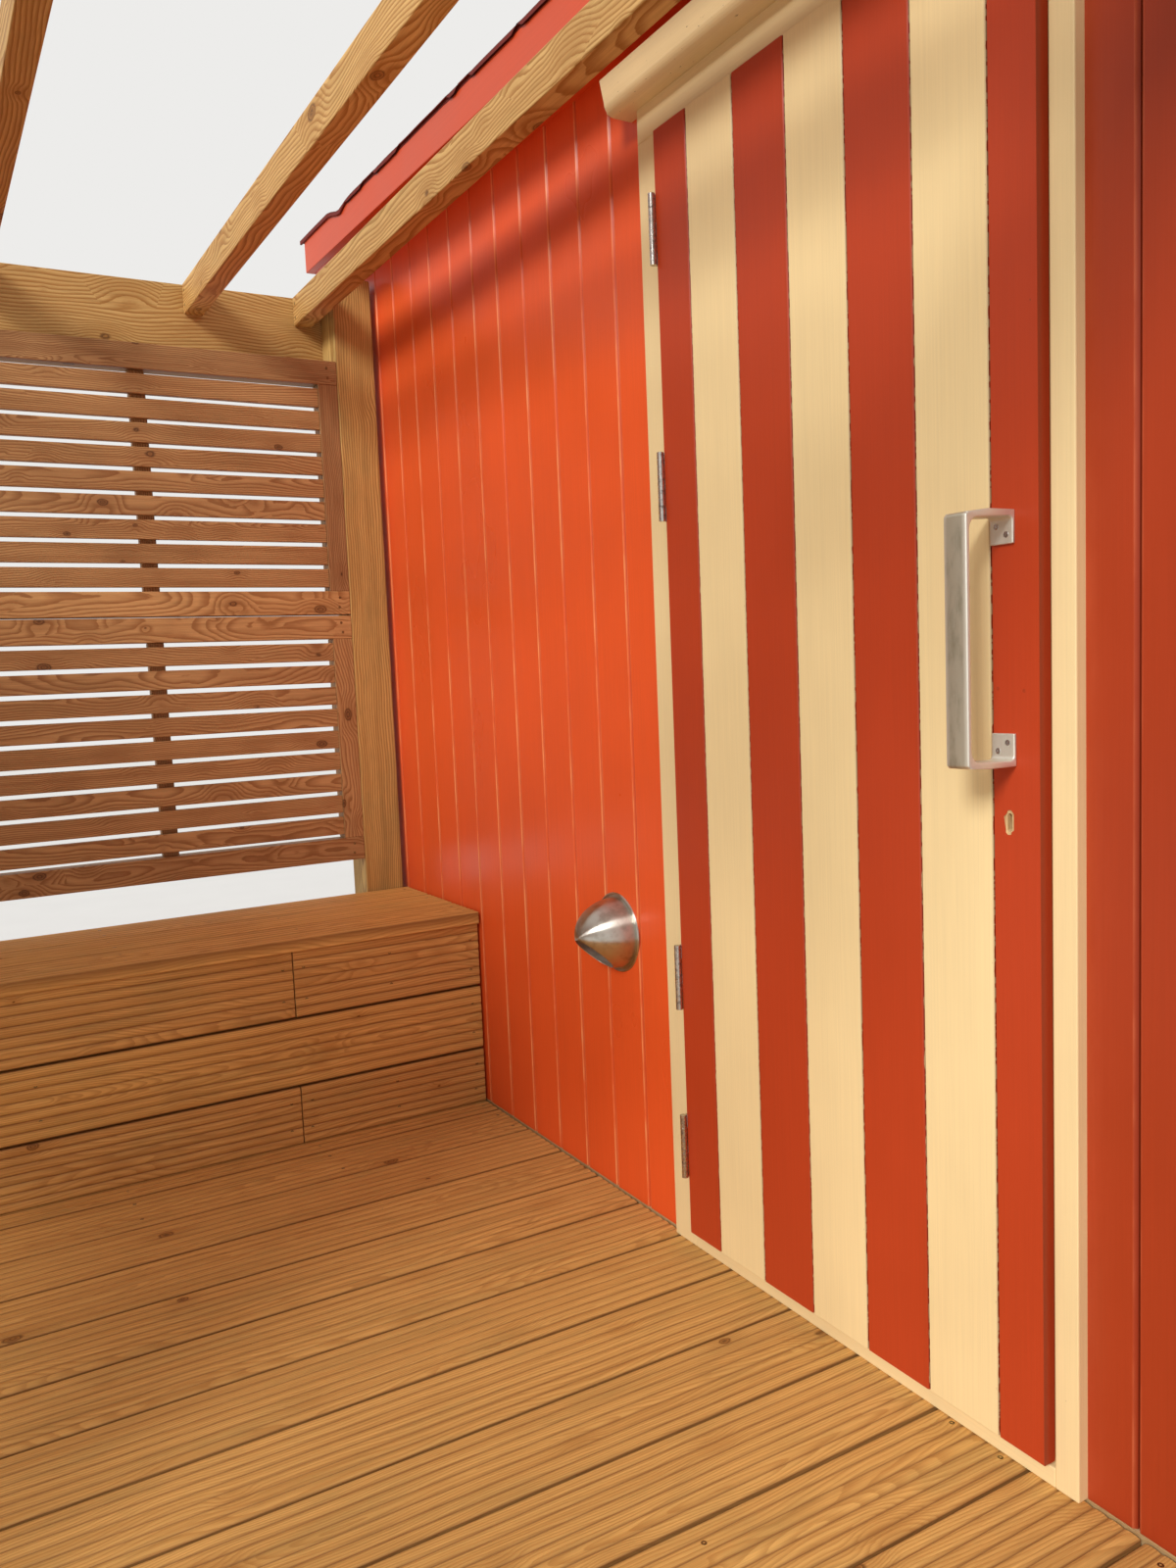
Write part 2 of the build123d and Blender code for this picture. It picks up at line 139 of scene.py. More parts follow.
def stretchedNoise(node, inMm, size, detail=3.0, roughness=0.55):
    # noise whose blots are about size mm along and across the grain
    vector = node("VectorMath DIVIDE", [inMm, size])
    return node("TexNoise", {"Vector": vector, "Scale": 1.0, "Detail": detail, "Roughness": roughness})


def annualRings(node, inMm, spacing, push):
    # push moves the rings outwards, in mm, where something bends them
    drift = stretchedNoise(node, inMm, (650, 420, 420), 2.0).outputs["Color"]
    drift = node("VectorMath SUBTRACT", [drift, (0.5, 0.5, 0.5)])
    bent = node("VectorMath MULTIPLY_ADD", [drift, (0, 110, 110), inMm])
    radial = node("VectorMath MULTIPLY", [bent, (0, 1, 1)])
    radius = node("VectorMath LENGTH", [radial]).outputs["Value"]
    radius = node("Math MULTIPLY_ADD", [stretchedNoise(node, inMm, (70, 16, 16)), 3.0, radius])
    radius = node("Math ADD", [radius, push])
    turns = node("Math DIVIDE", [radius, spacing])
    saw = node("Math FRACT", [turns])
    rise = node("MapRange", [saw, 0.25, 0.9, 0.0, 1.0], interpolation_type="SMOOTHSTEP")
    drop = node("MapRange", [saw, 0.92, 1.0, 1.0, 0.0], interpolation_type="SMOOTHSTEP")
    return node("Math MULTIPLY", [rise, drop])


def timberMaterial(name, look):
    surface, node = newMaterial(name)
    inMm, hollow, edge, tone = grainSockets(node)
    cell = (look["knotEvery"], look["knotAcross"], look["knotAcross"])
    cells = node("VectorMath DIVIDE", [inMm, cell])
    knots = node("TexVoronoi", {"Vector": cells, "Scale": 1.0}, voronoi_dimensions="3D")
    away = node("VectorMath SUBTRACT", [cells, knots.outputs["Position"]])
    away = node("VectorMath MULTIPLY", [away, (cell[0] * 0.62, cell[1], cell[2])])
    reach = node("VectorMath LENGTH", [away]).outputs["Value"]
    reach = node("Math MULTIPLY_ADD", [stretchedNoise(node, inMm, (9, 6, 6), 2.0), 3.0, reach])
    chance = node("SeparateColor", [knots.outputs["Color"]])
    size = node("Math MULTIPLY_ADD", [chance, look["knotSize"], 3.0])
    relative = node("Math DIVIDE", [reach, size])
    knot = node("MapRange", [relative, 0.85, 1.15, 1.0, 0.0], interpolation_type="SMOOTHSTEP")
    halo = node("MapRange", [relative, 0.9, 4.5, 1.0, 0.0], interpolation_type="SMOOTHERSTEP")
    rings = annualRings(node, inMm, look["ringSpacing"], node("Math MULTIPLY", [halo, size]))
    fibre = stretchedNoise(node, inMm, (70, look["fibre"], look["fibre"]), 4.0, 0.62)
    streak = stretchedNoise(node, inMm, (420, 11, 11))
    blot = stretchedNoise(node, inMm, (210, 60, 60), 4.0, 0.6)
    # inside a knot: its own small rings, nearly black at the rim
    inner = node("Math FRACT", [node("Math MULTIPLY", [relative, 2.6])])
    knotColour = node("Mix", {0: inner, 6: look["knot"], 7: look["late"]}, data_type="RGBA")
    colour = look["early"]
    for share, other in (
            (node("Math MULTIPLY", [rings, look["ringStrength"]]), look["late"]),
            (node("MapRange", [streak, 0.38, 0.72, 0.0, 0.5]), look["late"]),
            (node("Math MULTIPLY", [halo, 0.35]), look["late"]),
            (node("MapRange", [blot, 0.52, 0.74, 0.0, look["stainAmount"]]), look["stain"]),
            (node("Math MULTIPLY", [knot, 0.9]), knotColour),
            (node("Math MULTIPLY", [hollow, 0.8]), look["dirt"]),
            (node("Math MULTIPLY", [edge, 0.25]), look["dirt"])):
        colour = node("Mix", {0: share, 6: colour, 7: other}, data_type="RGBA")
    spread, warm, rough = look["toneSpread"], look["warm"], look["roughness"]
    value = node("MapRange", [tone, 0.0, 1.0, 1.0 - spread, 1.0 + spread * 0.6])
    value = node("Math MULTIPLY", [value, node("MapRange", [fibre, 0.3, 0.7, 0.86, 1.12])])
    hue = node("MapRange", [tone, 0.0, 1.0, 0.5 - warm, 0.5 + warm * 0.3])
    height = node("Math MULTIPLY_ADD", [rings, 0.5, fibre])
    height = node("Math MULTIPLY_ADD", [knot, 0.6, height])
    setInputs(surface, {
        "Base Color": node("HueSaturation", {"Hue": hue, "Value": value, "Color": colour}),
        "Roughness": node("MapRange", [fibre, 0.3, 0.7, rough + 0.1, rough - 0.08]),
        "Normal": node("Bump", {"Height": height, "Strength": 0.55, "Distance": 0.0006}),
        "IOR": 1.45, "Specular IOR Level": 0.35})


# Oil paint brushed on planed boards: lay-off lines along each board, wood grain telegraphing through
paintLooks = {
    # full gloss, one summer old: the lit copy of the one red paint, brightened as painted sheen, with painted
    # highlights down the grooves
    "glossPaintRed": dict(colour="#EE5C27", hollow="#A5381A", chip="#A8714A", chips=0.06, roughness=0.3,
                          sheen=0.28, arris="#FFB878", arrisShare=0.85),
    # the same red paint beside the door, as the shaded copy: deeper, as painted shade
    "glossPaintDeepRed": dict(colour="#A83C1B", hollow="#6C2210", chip="#8A5030", chips=0.06, roughness=0.34,
                              sheen=0.28, arris="#D8744C", arrisShare=0.6),
    # the roof's fascias, as the far wall but duller
    "glossPaintFasciaRed": dict(colour="#CB4A22", hollow="#6C2210", chip="#8A5030", chips=0.06, roughness=0.34,
                                sheen=0.28),
    # the felt's edge and underside: a dark maroon, well below the fascia's red, so that the edge shows as a thin
    # dark line
    "paintedFeltEdge": dict(colour="#6E2219", hollow="#3A1510", chip="#2C2B2B", chips=0.1, roughness=0.6,
                            sheen=0.2),
    # satin cream, knocked at the corners
    "satinPaintCream": dict(colour="#F0D6A0", hollow="#7E5A3A", chip="#5E3A22", chips=0.3, roughness=0.42,
                            sheen=0.4),
    # cream and red boards in turn, cut in by hand, so the colours meet raggedly in the grooves
    "satinPaintStriped": dict(colour="#B9401D", second="#F2D8A1", hollow="#5E2413", chip="#6B4024", chips=0.1,
                              roughness=0.38, sheen=0.3),
}
leafStripes = dict(fromHinge=85 * mm, width=115 * mm, wobble=2.6)


def paintMaterial(name, look):
    surface, node = newMaterial(name)
    inMm, hollow, edge, tone = grainSockets(node)
    placeMm = placeInMm(node)
    brush = stretchedNoise(node, inMm, (190, 2.4, 2.4), 4.0, 0.6)
    broad = stretchedNoise(node, placeMm, (260, 260, 420))
    coats = []
    if "second" in look:
        wobble = node("Math SUBTRACT", [stretchedNoise(node, placeMm, (400, 400, 16), 3.0, 0.7), 0.5])
        across = node("SeparateXYZ", [placeMm]).outputs["Y"]
        across = node("Math SUBTRACT", [(hingeY - leafStripes["fromHinge"]) / mm, across])
        across = node("Math MULTIPLY_ADD", [wobble, leafStripes["wobble"], across])
        turns = node("Math FRACT", [node("Math DIVIDE", [across, leafStripes["width"] / mm * 2])])
        cream = node("Math LESS_THAN", [turns, 0.5])
        past = node("Math GREATER_THAN", [across, 0.0])
        coats.append((node("Math MULTIPLY", [cream, past]), look["second"]))
    coats.append((node("Math MULTIPLY", [hollow, 0.75]), look["hollow"]))
    if "arris" in look:
        # the rims of the joints carry a painted highlight: a pale broken line down each, standing for glints on
        # the gloss
        glintBreaks = stretchedNoise(node, placeMm, (40, 40, 130), 4.0, 0.6)
        glintBreaks = node("MapRange", [glintBreaks, 0.4, 0.64, 0.12, look["arrisShare"]])
        coats.append((node("Math MULTIPLY", [node("Math POWER", [edge, 2.2]), glintBreaks]), look["arris"]))
    flakes = stretchedNoise(node, inMm, (14, 3.5, 3.5), 4.0, 0.7)
    chipped = node("Math MULTIPLY_ADD", [edge, look["chips"], flakes])
    chipped = node("MapRange", [chipped, 0.76, 0.8, 0.0, 1.0])
    colour = look["colour"]
    for share, other in coats + [(chipped, look["chip"])]:
        colour = node("Mix", {0: share, 6: colour, 7: other}, data_type="RGBA")
    value = node("MapRange", [broad, 0.3, 0.7, 0.94, 1.05])
    value = node("Math MULTIPLY", [value, node("MapRange", [brush, 0.3, 0.7, 0.96, 1.03])])
    value = node("Math MULTIPLY", [value, node("MapRange", [tone, 0.0, 1.0, 0.97, 1.02])])
    rings = annualRings(node, inMm, 4.5, 0.0)
    height = node("Math MULTIPLY_ADD", [rings, 0.015, brush])
    height = node("Math MULTIPLY_ADD", [chipped, -0.8, height])
    rough = look["roughness"]
    setInputs(surface, {
        "Base Color": node("HueSaturation", {"Value": value, "Color": colour}),
        "Roughness": node("MapRange", [broad, 0.3, 0.7, rough - 0.04, rough + 0.08]),
        "Normal": node("Bump", {"Height": height, "Strength": 0.22, "Distance": 0.0003}),
        "IOR": 1.5, "Specular IOR Level": look["sheen"]})


# Metals: what the tool or the rolling left on them, and a little dullness from the weather
metalLooks = {
    # cast aluminium, rubbed down: a fine pebbly dullness, paler on its rims and arms, partly hand polish and
    # partly painted highlight and reflection
    "rubbedCastAluminium": dict(colour="#BCB5A0", tarnish="#8C846E", polish="#E6E2D4", stroke=(1.2, 1.2, 1.6),
                                blot=(26, 18, 60), roughness=0.38, spread=0.12, bump=0.0003, metallic=0.62),
    # rolled steel, zinc plated: grey with a few duller spots
    "zincPlatedSteel": dict(colour="#C8C4BE", tarnish="#574F47", stroke=(4, 4, 4), blot=(6, 6, 7),
                            roughness=0.26, spread=0.16, bump=0.0001, metallic=1.0),
    # spun stainless steel, polished: rings left by the spinning tool draw a highlight out into a streak;
    # the rings are 0.1 mm apart, drawn at 1 so that they show
    "spunStainlessSteel": dict(colour="#D2CDC2", tarnish="#A89E8E", stroke=(1.0, 0.9, 1.0), blot=(30, 30, 30),
                               roughness=0.3, spread=0.08, bump=0.00004, metallic=1.0, spun="vent_cowl"),
    # the inside of the same dome, left dull from the press: pale and matt
    "dullStainlessSteel": dict(colour="#D8D2C0", tarnish="#ACA48E", stroke=(2, 2, 2), blot=(20, 20, 20),
                               roughness=0.6, spread=0.1, bump=0.0001, metallic=0.3),
    # yellow passivated screws, darkened
    "passivatedScrew": dict(colour="#8D7A52", tarnish="#4B3E2B", stroke=(3, 3, 3), blot=(5, 5, 5),
                            roughness=0.42, spread=0.15, bump=0.0001, metallic=1.0),
}


def metalMaterial(name, look):
    surface, node = newMaterial(name)
    placeMm = marksAt = placeInMm(node)
    if "spun" in look:
        # the turning marks run round the cowl, so a highlight is drawn out from its tip to the flange
        low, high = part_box(look["spun"])
        axis = (0, (low[1] + high[1]) / 2 / mm, (low[2] + high[2]) / 2 / mm)
        fromAxis = node("VectorMath SUBTRACT", [placeMm, axis])
        outward = node("VectorMath MULTIPLY", [fromAxis, (0, 1, 1)])
        radius = node("VectorMath LENGTH", [outward]).outputs["Value"]
        marksAt = node("CombineXYZ", [node("SeparateXYZ", [placeMm]).outputs["X"], radius, 0.0])
        setInputs(surface, {"Tangent": node("Tangent", direction_type="RADIAL", axis="X"),
                            "Anisotropic": 1.0, "Anisotropic Rotation": 0.25})
    stroke = stretchedNoise(node, marksAt, look["stroke"], 3.0, 0.6)
    blot = stretchedNoise(node, placeMm, look["blot"], 4.0, 0.6)
    dull = node("MapRange", [blot, 0.45, 0.72, 0.0, 0.75], interpolation_type="SMOOTHSTEP")
    colour = node("Mix", {0: dull, 6: look["colour"], 7: look["tarnish"]}, data_type="RGBA")
    rough = node("MapRange", [dull, 0.0, 0.75, look["roughness"], look["roughness"] + look["spread"]])
    if "polish" in look:
        # pale on the marked rims and arms: hand polish on the rims, painted highlight and reflection on both
        rubAndSheen = node("Attribute", attribute_name="edge").outputs["Fac"]
        colour = node("Mix", {0: rubAndSheen, 6: colour, 7: look["polish"]}, data_type="RGBA")
        rough = node("Math MULTIPLY_ADD", [rubAndSheen, 0.06, rough])
    setInputs(surface, {
        "Base Color": colour, "Roughness": rough, "Metallic": look["metallic"],
        "Normal": node("Bump", {"Height": stroke, "Strength": 0.4, "Distance": look["bump"]})})


# Bitumen felt with crushed slate pressed in: a dry charcoal speckle, laps every 740 mm, a little bloom
feltLook = dict(bitumen="#2C2B2B", slate="#5D5956", bloom="#77706A", lap="#161514", grit=(2.2, 2.2, 2.2),
                lapEvery=740.0)


def feltMaterial(name, look):
    surface, node = newMaterial(name)
    placeMm = placeInMm(node)
    grit = stretchedNoise(node, placeMm, look["grit"], 2.0)   # slate grit is 1 mm; drawn at 2 so that it shows
    cloud = stretchedNoise(node, placeMm, (620, 460, 460), 5.0, 0.65)
    across = node("SeparateXYZ", [placeMm]).outputs["X"]
    lap = node("Math FRACT", [node("Math DIVIDE", [across, look["lapEvery"]])])
    seam = node("MapRange", [lap, 0.0, 0.012, 1.0, 0.0])
    colour = look["bitumen"]
    for share, other in ((node("MapRange", [grit, 0.42, 0.66, 0.0, 1.0]), look["slate"]),
                         (node("MapRange", [cloud, 0.35, 0.7, 0.0, 0.16]), look["bloom"]),
                         (node("Math MULTIPLY", [seam, 0.7]), look["lap"])):
        colour = node("Mix", {0: share, 6: colour, 7: other}, data_type="RGBA")
    height = node("Math MULTIPLY_ADD", [seam, -1.5, grit])
    setInputs(surface, {"Base Color": colour, "Roughness": 0.92,
                        "Normal": node("Bump", {"Height": height, "Strength": 0.6, "Distance": 0.0015})})


for makeMaterial, looks in ((timberMaterial, timberLooks), (paintMaterial, paintLooks),
                            (metalMaterial, metalLooks), (feltMaterial, {"slateBitumenFelt": feltLook})):
    for name, look in looks.items():
        makeMaterial(name, look)
print("materials made:", len(materials))


# Profiles are lists of (across, out of the face, in a groove 0..1, on an edge 0..1), anticlockwise from the end
def easedProfile(width, thickness, ease):
    points = []
    for sideY, sideZ, start in ((1, 1, 0), (-1, 1, 90), (-1, -1, 180), (1, -1, 270)):
        for turn in (0, 45, 90):
            angle = math.radians(start + turn)
            points.append((sideY * (width / 2 - ease) + ease * math.cos(angle) + width / 2,
                           sideZ * (thickness / 2 - ease) + ease * math.sin(angle) - thickness / 2, 0.0, 1.0))
    return points


def grooveProfile(width, thickness, chamfer, slot=0.0):
    # a V on both sides; slot is the dark gap left where the next board's tongue goes in
    side = width - slot
    points = [(width, -thickness, 0, 0)]
    if slot:
        points += [(width, -chamfer - 3 * slot, 1, 0), (side, -chamfer - 3 * slot, 1, 0)]
    return points + [(side, -chamfer, 0.7, 0), (side - chamfer, 0, 0, 1),
                     (side - chamfer * 1.6, 0, 0, 0), (chamfer * 1.6, 0, 0, 0), (chamfer, 0, 0, 1),
                     (0, -chamfer, 0.7, 0), (0, -thickness, 0, 0)]


def ridgedProfile(width, thickness, ridges, depth):
    # rounded ridges with narrow grooves between, and plain eased lower corners
    steps, ease = ridges * 10, 2 * mm
    points = [(width, -thickness + ease, 0, 0)]
    for i in range(steps, -1, -1):
        swell = abs(math.sin(math.pi * ridges * i / steps)) ** 0.5
        points.append((width * i / steps, -depth * (1 - swell), (1 - swell) ** 1.5, 0))
    return points + [(0, -thickness + ease, 0, 0), (ease, -thickness, 0, 0), (width - ease, -thickness, 0, 0)]


def newStore():
    return dict(points=[], faces=[], grainPos=[], hollow=[], edge=[], boardTone=[])


def addBar(store, profile, length, ease, place, shift=(0, 0, 0), tone=0.5):
    # a bar of that profile along local X from 0 to length, its ends eased, then moved by the matrix place
    size = len(profile)
    middleY = sum(p[0] for p in profile) / size
    middleZ = sum(p[1] for p in profile) / size
    first = len(store["points"])
    rings = [(0.0, True), (ease, False), (length - ease, False), (length, True)]
    for x, inset in rings:
        for y, z, hollow, edge in profile:
            if inset:
                y += math.copysign(min(ease, abs(y - middleY)), middleY - y)
                z += math.copysign(min(ease, abs(z - middleZ)), middleZ - z)
            local = Vector((x, y, z))
            store["points"].append(place @ local)
            store["grainPos"].append(local + Vector(shift))
            store["hollow"].append(hollow)
            store["edge"].append(1.0 if inset else edge)
            store["boardTone"].append(tone)
    for a in range(first, first + (len(rings) - 1) * size, size):
        for i in range(size):
            j = (i + 1) % size
            store["faces"].append((a + i, a + j, a + size + j, a + size + i))
    last = first + (len(rings) - 1) * size
    store["faces"].append(tuple(first + i for i in reversed(range(size))))
    store["faces"].append(tuple(last + i for i in range(size)))


def meshOf(name, points, faces=()):
    mesh = bpy.data.meshes.new(name)
    mesh.from_pydata([tuple(p) for p in points], [], faces)
    return mesh


def meshFrom(name, work):
    mesh = bpy.data.meshes.new(name)
    work.to_mesh(mesh)
    work.free()
    return mesh


def mark(mesh, label, values, kind="FLOAT", domain="POINT"):
    field = "value" if kind == "FLOAT" else "vector"
    mesh.attributes.new(label, kind, domain).data.foreach_set(field, values)


def addPiece(name, mesh, material=None):
    if material:
        mesh.materials.append(materials[material])
    piece = bpy.data.objects.new(name, mesh)
    bpy.context.scene.collection.objects.link(piece)
    return piece


def bakeModifiers(piece):
    bpy.context.view_layer.update()
    piece.data = bpy.data.meshes.new_from_object(piece.evaluated_get(bpy.context.evaluated_depsgraph_get()))
    piece.modifiers.clear()


def storeToPiece(name, store, material=None):
    mesh = meshOf(name, store["points"], store["faces"])
    mark(mesh, "grainPos", [c for g in store["grainPos"] for c in g], "FLOAT_VECTOR")
    for label in ("hollow", "edge", "boardTone"):
        mark(mesh, label, store[label])
    return addPiece(name, mesh, material)


def turnTo(along, face):
    # local X runs along, local Z looks out of the face, local Y follows
    return Matrix((along, face.cross(along), face)).transposed()


def corner(*numbers):
    return Vector(numbers)


def corners(node):
    low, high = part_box(node)
    return Vector(low), Vector(high)


def barPlace(low, high, along, face):
    # the matrix that sets a bar's local corner at the right corner of a box, and its length, width and thickness
    turn = turnTo(along, face)
    across = turn.col[1]
    start = Vector([(low if (along + across)[k] > 0 else high)[k] if abs(face[k]) < 0.5 else
                    (high if face[k] > 0 else low)[k] for k in range(3)])
    sizes = [abs((high - low).dot(axis)) for axis in (along, across, face)]
    return Matrix.Translation(start) @ turn.to_4x4(), sizes


def timbers(name, boxes, material, seed, ease=2 * mm, face=None, shape=None):
    # boxes: (low, high) corners of straight timbers; the grain runs along the longest side
    store = newStore()
    chance = random.Random(seed)
    for low, high in boxes:
        span = high - low
        along = [xAxis, yAxis, zAxis][max(range(3), key=lambda k: span[k])]
        out = face or (zAxis if abs(along.z) < 0.5 else -xAxis)
        place, (length, width, thickness) = barPlace(low, high, along, out)
        profile = shape(width, thickness) if shape else easedProfile(width, thickness, ease)
        shift = (chance.uniform(-40, 40), chance.uniform(-0.11, 0.02), chance.uniform(-0.06, 0.1))
        addBar(store, profile, length, ease, place, shift, chance.uniform(0.0, 1.0))
    return storeToPiece(name, store, material)


def mergedCopy(node):
    work = bmesh.new()
    work.from_mesh(cadNodes[node].data)
    bmesh.ops.remove_doubles(work, verts=work.verts, dist=1e-6)
    return work


def islandBoxes(node):
    # the corner pairs of each separate solid in a node
    work = mergedCopy(node)
    boxes, seen = [], set()
    for vert in work.verts:
        if vert in seen:
            continue
        group, todo = [], [vert]
        seen.add(vert)
        while todo:
            current = todo.pop()
            group.append(current.co.copy())
            for link in current.link_edges:
                other = link.other_vert(current)
                if other not in seen:
                    seen.add(other)
                    todo.append(other)
        boxes.append([Vector([pick(p[k] for p in group) for k in range(3)]) for pick in (min, max)])
    work.free()
    return boxes


def settle(piece, body, slot, *replaced):
    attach(piece, body)
    if replaced:
        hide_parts(*replaced)
    return piece


def joinPieces(name, parts):
    with bpy.context.temp_override(active_object=parts[0], object=parts[0], selected_objects=parts,
                                   selected_editable_objects=parts):
        bpy.ops.object.join()
    parts[0].name = name
    return parts[0]


def newTree(name, sockets):
    # a Geometry Nodes tree with those inputs; returns it, the function that adds nodes and the inputs' sockets
    tree = bpy.data.node_groups.new(name, "GeometryNodeTree")
    for label, kind in sockets:
        tree.interface.new_socket(name=label, in_out="INPUT", socket_type="NodeSocket" + kind)
    tree.interface.new_socket(name="Geometry", in_out="OUTPUT", socket_type="NodeSocketGeometry")
    node = partial(addNode, tree)
    return tree, node, node("NodeGroupInput").outputs


def runTree(name, tree, values, start=None):
    # runs a node tree once and keeps its result as a plain mesh
    piece = start or addPiece(name, bpy.data.meshes.new(name))
    modifier = piece.modifiers.new("tree", "NODES")
    modifier.node_group = tree
    for item in tree.interface.items_tree:
        if item.in_out == "INPUT" and item.name in values:
            modifier[item.identifier] = values[item.name]
    bakeModifiers(piece)
    piece.name = name
    return piece


def makeBoardRow():
    # boards side by side, cut off by a box whose top may slope; each carries its own grain and tone
    tree, node, given = newTree("boardRow", (
        ("Board", "Object"), ("Count", "Int"), ("Start", "Vector"), ("Step", "Vector"), ("Turn", "Vector"),
        ("Low", "Vector"), ("High", "Vector"), ("Slope", "Float"), ("Slope From", "Float"),
        ("Unevenness", "Vector"), ("Seed", "Int"), ("Material", "Material")))
    line = node("GeometryNodeMeshLine", {"Count": given["Count"], "Start Location": given["Start"],
                                         "Offset": given["Step"]}, mode="OFFSET")
    shift = node("FunctionNodeRandomValue", {0: (-40, -0.11, -0.05), 1: (40, 0.02, 0.09), "Seed": given["Seed"]},
                 data_type="FLOAT_VECTOR")
    marked = node("GeometryNodeStoreNamedAttribute", {"Geometry": line, "Name": "shift", "Value": shift},
                  data_type="FLOAT_VECTOR", domain="POINT")
    toneSeed = node("Math ADD", [given["Seed"], 7.0])
    tone = node("FunctionNodeRandomValue", {2: 0.0, 3: 1.0, "Seed": toneSeed}, data_type="FLOAT")
    marked = node("GeometryNodeStoreNamedAttribute", {"Geometry": marked, "Name": "boardTone", "Value": tone},
                  data_type="FLOAT", domain="POINT")
    nudgeSeed = node("Math ADD", [given["Seed"], 13.0])
    nudge = node("FunctionNodeRandomValue", {0: (-1, -1, -1), 1: (1, 1, 1), "Seed": nudgeSeed},
                 data_type="FLOAT_VECTOR")
    nudge = node("VectorMath MULTIPLY", [nudge, given["Unevenness"]])
    nudged = node("GeometryNodeSetPosition", {"Geometry": marked, "Offset": nudge})
    board = node("GeometryNodeObjectInfo", {"Object": given["Board"]}).outputs["Geometry"]
    placed = node("GeometryNodeInstanceOnPoints",
                  {"Points": nudged, "Instance": board, "Rotation": given["Turn"]})
    real = node("GeometryNodeRealizeInstances", {"Geometry": placed})
    position = node("GeometryNodeInputPosition").outputs[0]
    lowest = node("VectorMath MAXIMUM", [position, given["Low"]])
    past = node("Math SUBTRACT", [node("SeparateXYZ", [position]).outputs["Y"], given["Slope From"]])
    lift = node("CombineXYZ", {"Z": node("Math MULTIPLY", [past, given["Slope"]])})
    top = node("VectorMath ADD", [given["High"], lift])
    cut = node("VectorMath MINIMUM", [lowest, top])
    trimmed = node("GeometryNodeSetPosition", {"Geometry": real, "Position": cut})
    merged = node("GeometryNodeMergeByDistance", {"Geometry": trimmed, "Distance": 0.00002})
    local, moved = [node("GeometryNodeInputNamedAttribute", {"Name": label}, data_type="FLOAT_VECTOR").outputs[0]
                    for label in ("grainPos", "shift")]
    grain = node("VectorMath ADD", [local, moved])
    stored = node("GeometryNodeStoreNamedAttribute", {"Geometry": merged, "Name": "grainPos", "Value": grain},
                  data_type="FLOAT_VECTOR", domain="POINT")
    plain = node("GeometryNodeRemoveAttribute", {"Geometry": stored, "Name": "shift"})
    finished = node("GeometryNodeSetMaterial", {"Geometry": plain, "Material": given["Material"]})
    node("NodeGroupOutput", {"Geometry": finished})
    return tree


boardRowTree = makeBoardRow()


def boardRow(name, low, high, along, face, profile, pitch, origin, material, seed, ease=1 * mm, slope=0.0,
             slopeFrom=0.0, uneven=0.0):
    # fills a box with boards whose joints fall at origin + n * pitch on the axis across them
    turn = turnTo(along, face)
    across = turn.col[1]
    lows, highs = sorted((low.dot(across), high.dot(across)))
    first = math.floor((lows - origin) / pitch + 1e-6)
    count = math.ceil((highs - origin) / pitch - 1e-6) - first
    store = newStore()
    addBar(store, profile, abs((high - low).dot(along)), ease, Matrix.Identity(4))
    template = storeToPiece(name + "Board", store)
    start = Vector([0, 0, 0])
    for axis, value in ((along, min(low.dot(along), high.dot(along))), (across, origin + first * pitch),
                        (face, max(low.dot(face), high.dot(face)))):
        start += axis * value
    piece = runTree(name, boardRowTree, {
        "Board": template, "Count": count, "Start": start, "Step": across * pitch,
        "Turn": Vector(turn.to_euler()), "Low": low, "High": high, "Slope": slope, "Slope From": slopeFrom,
        "Unevenness": face * uneven, "Seed": seed, "Material": materials[material]})
    bpy.data.objects.remove(template)
    return piece


def makeScrewRow():
    # one head on every point, looking along the point's "facing", turned at random
    tree, node, given = newTree("screwHeads", (("Geometry", "Geometry"), ("Head", "Object"), ("Seed", "Int"),
                                               ("Material", "Material")))
    facing = node("GeometryNodeInputNamedAttribute", {"Name": "facing"}, data_type="FLOAT_VECTOR").outputs[0]
    upright = node("FunctionNodeAlignRotationToVector", {"Vector": facing}, axis="Z")
    angle = node("FunctionNodeRandomValue", {2: 0.0, 3: 3.1, "Seed": given["Seed"]}, data_type="FLOAT")
    spin = node("FunctionNodeAxisAngleToRotation", {"Axis": (0, 0, 1), "Angle": angle})
    turned = node("FunctionNodeRotateRotation", {"Rotation": upright, "Rotate By": spin}, rotation_space="LOCAL")
    head = node("GeometryNodeObjectInfo", {"Object": given["Head"]}).outputs["Geometry"]
    placed = node("GeometryNodeInstanceOnPoints",
                  {"Points": given["Geometry"], "Instance": head, "Rotation": turned})
    real = node("GeometryNodeRealizeInstances", {"Geometry": placed})
    finished = node("GeometryNodeSetMaterial", {"Geometry": real, "Material": given["Material"]})
    node("NodeGroupOutput", {"Geometry": finished})
    return tree


screwTree = makeScrewRow()


def screwHead(radius):
    # a flat countersunk head with a cross recess, its rim just under the surface
    around, scale = 8, mm * radius / (4 * mm)
    rings = [(radius, -0.1), (radius * 0.92, 0.12), (radius * 0.45, 0.12), (radius * 0.3, -0.35)]
    points = []
    for ring, (reach, level) in enumerate(rings):
        for i in range(around):
            wide = reach * (0.55 if ring >= 2 and i % 2 else 1.0)
            angle = 2 * math.pi * i / around
            points.append((wide * math.cos(angle), wide * math.sin(angle), level * scale))
    faces = [(r * around + i, r * around + (i + 1) % around, (r + 1) * around + (i + 1) % around,
              (r + 1) * around + i) for r in range(3) for i in range(around)]
    faces += [tuple(range(3 * around, 4 * around)), tuple(reversed(range(around)))]
    return addPiece("head", meshOf("head", points, faces))


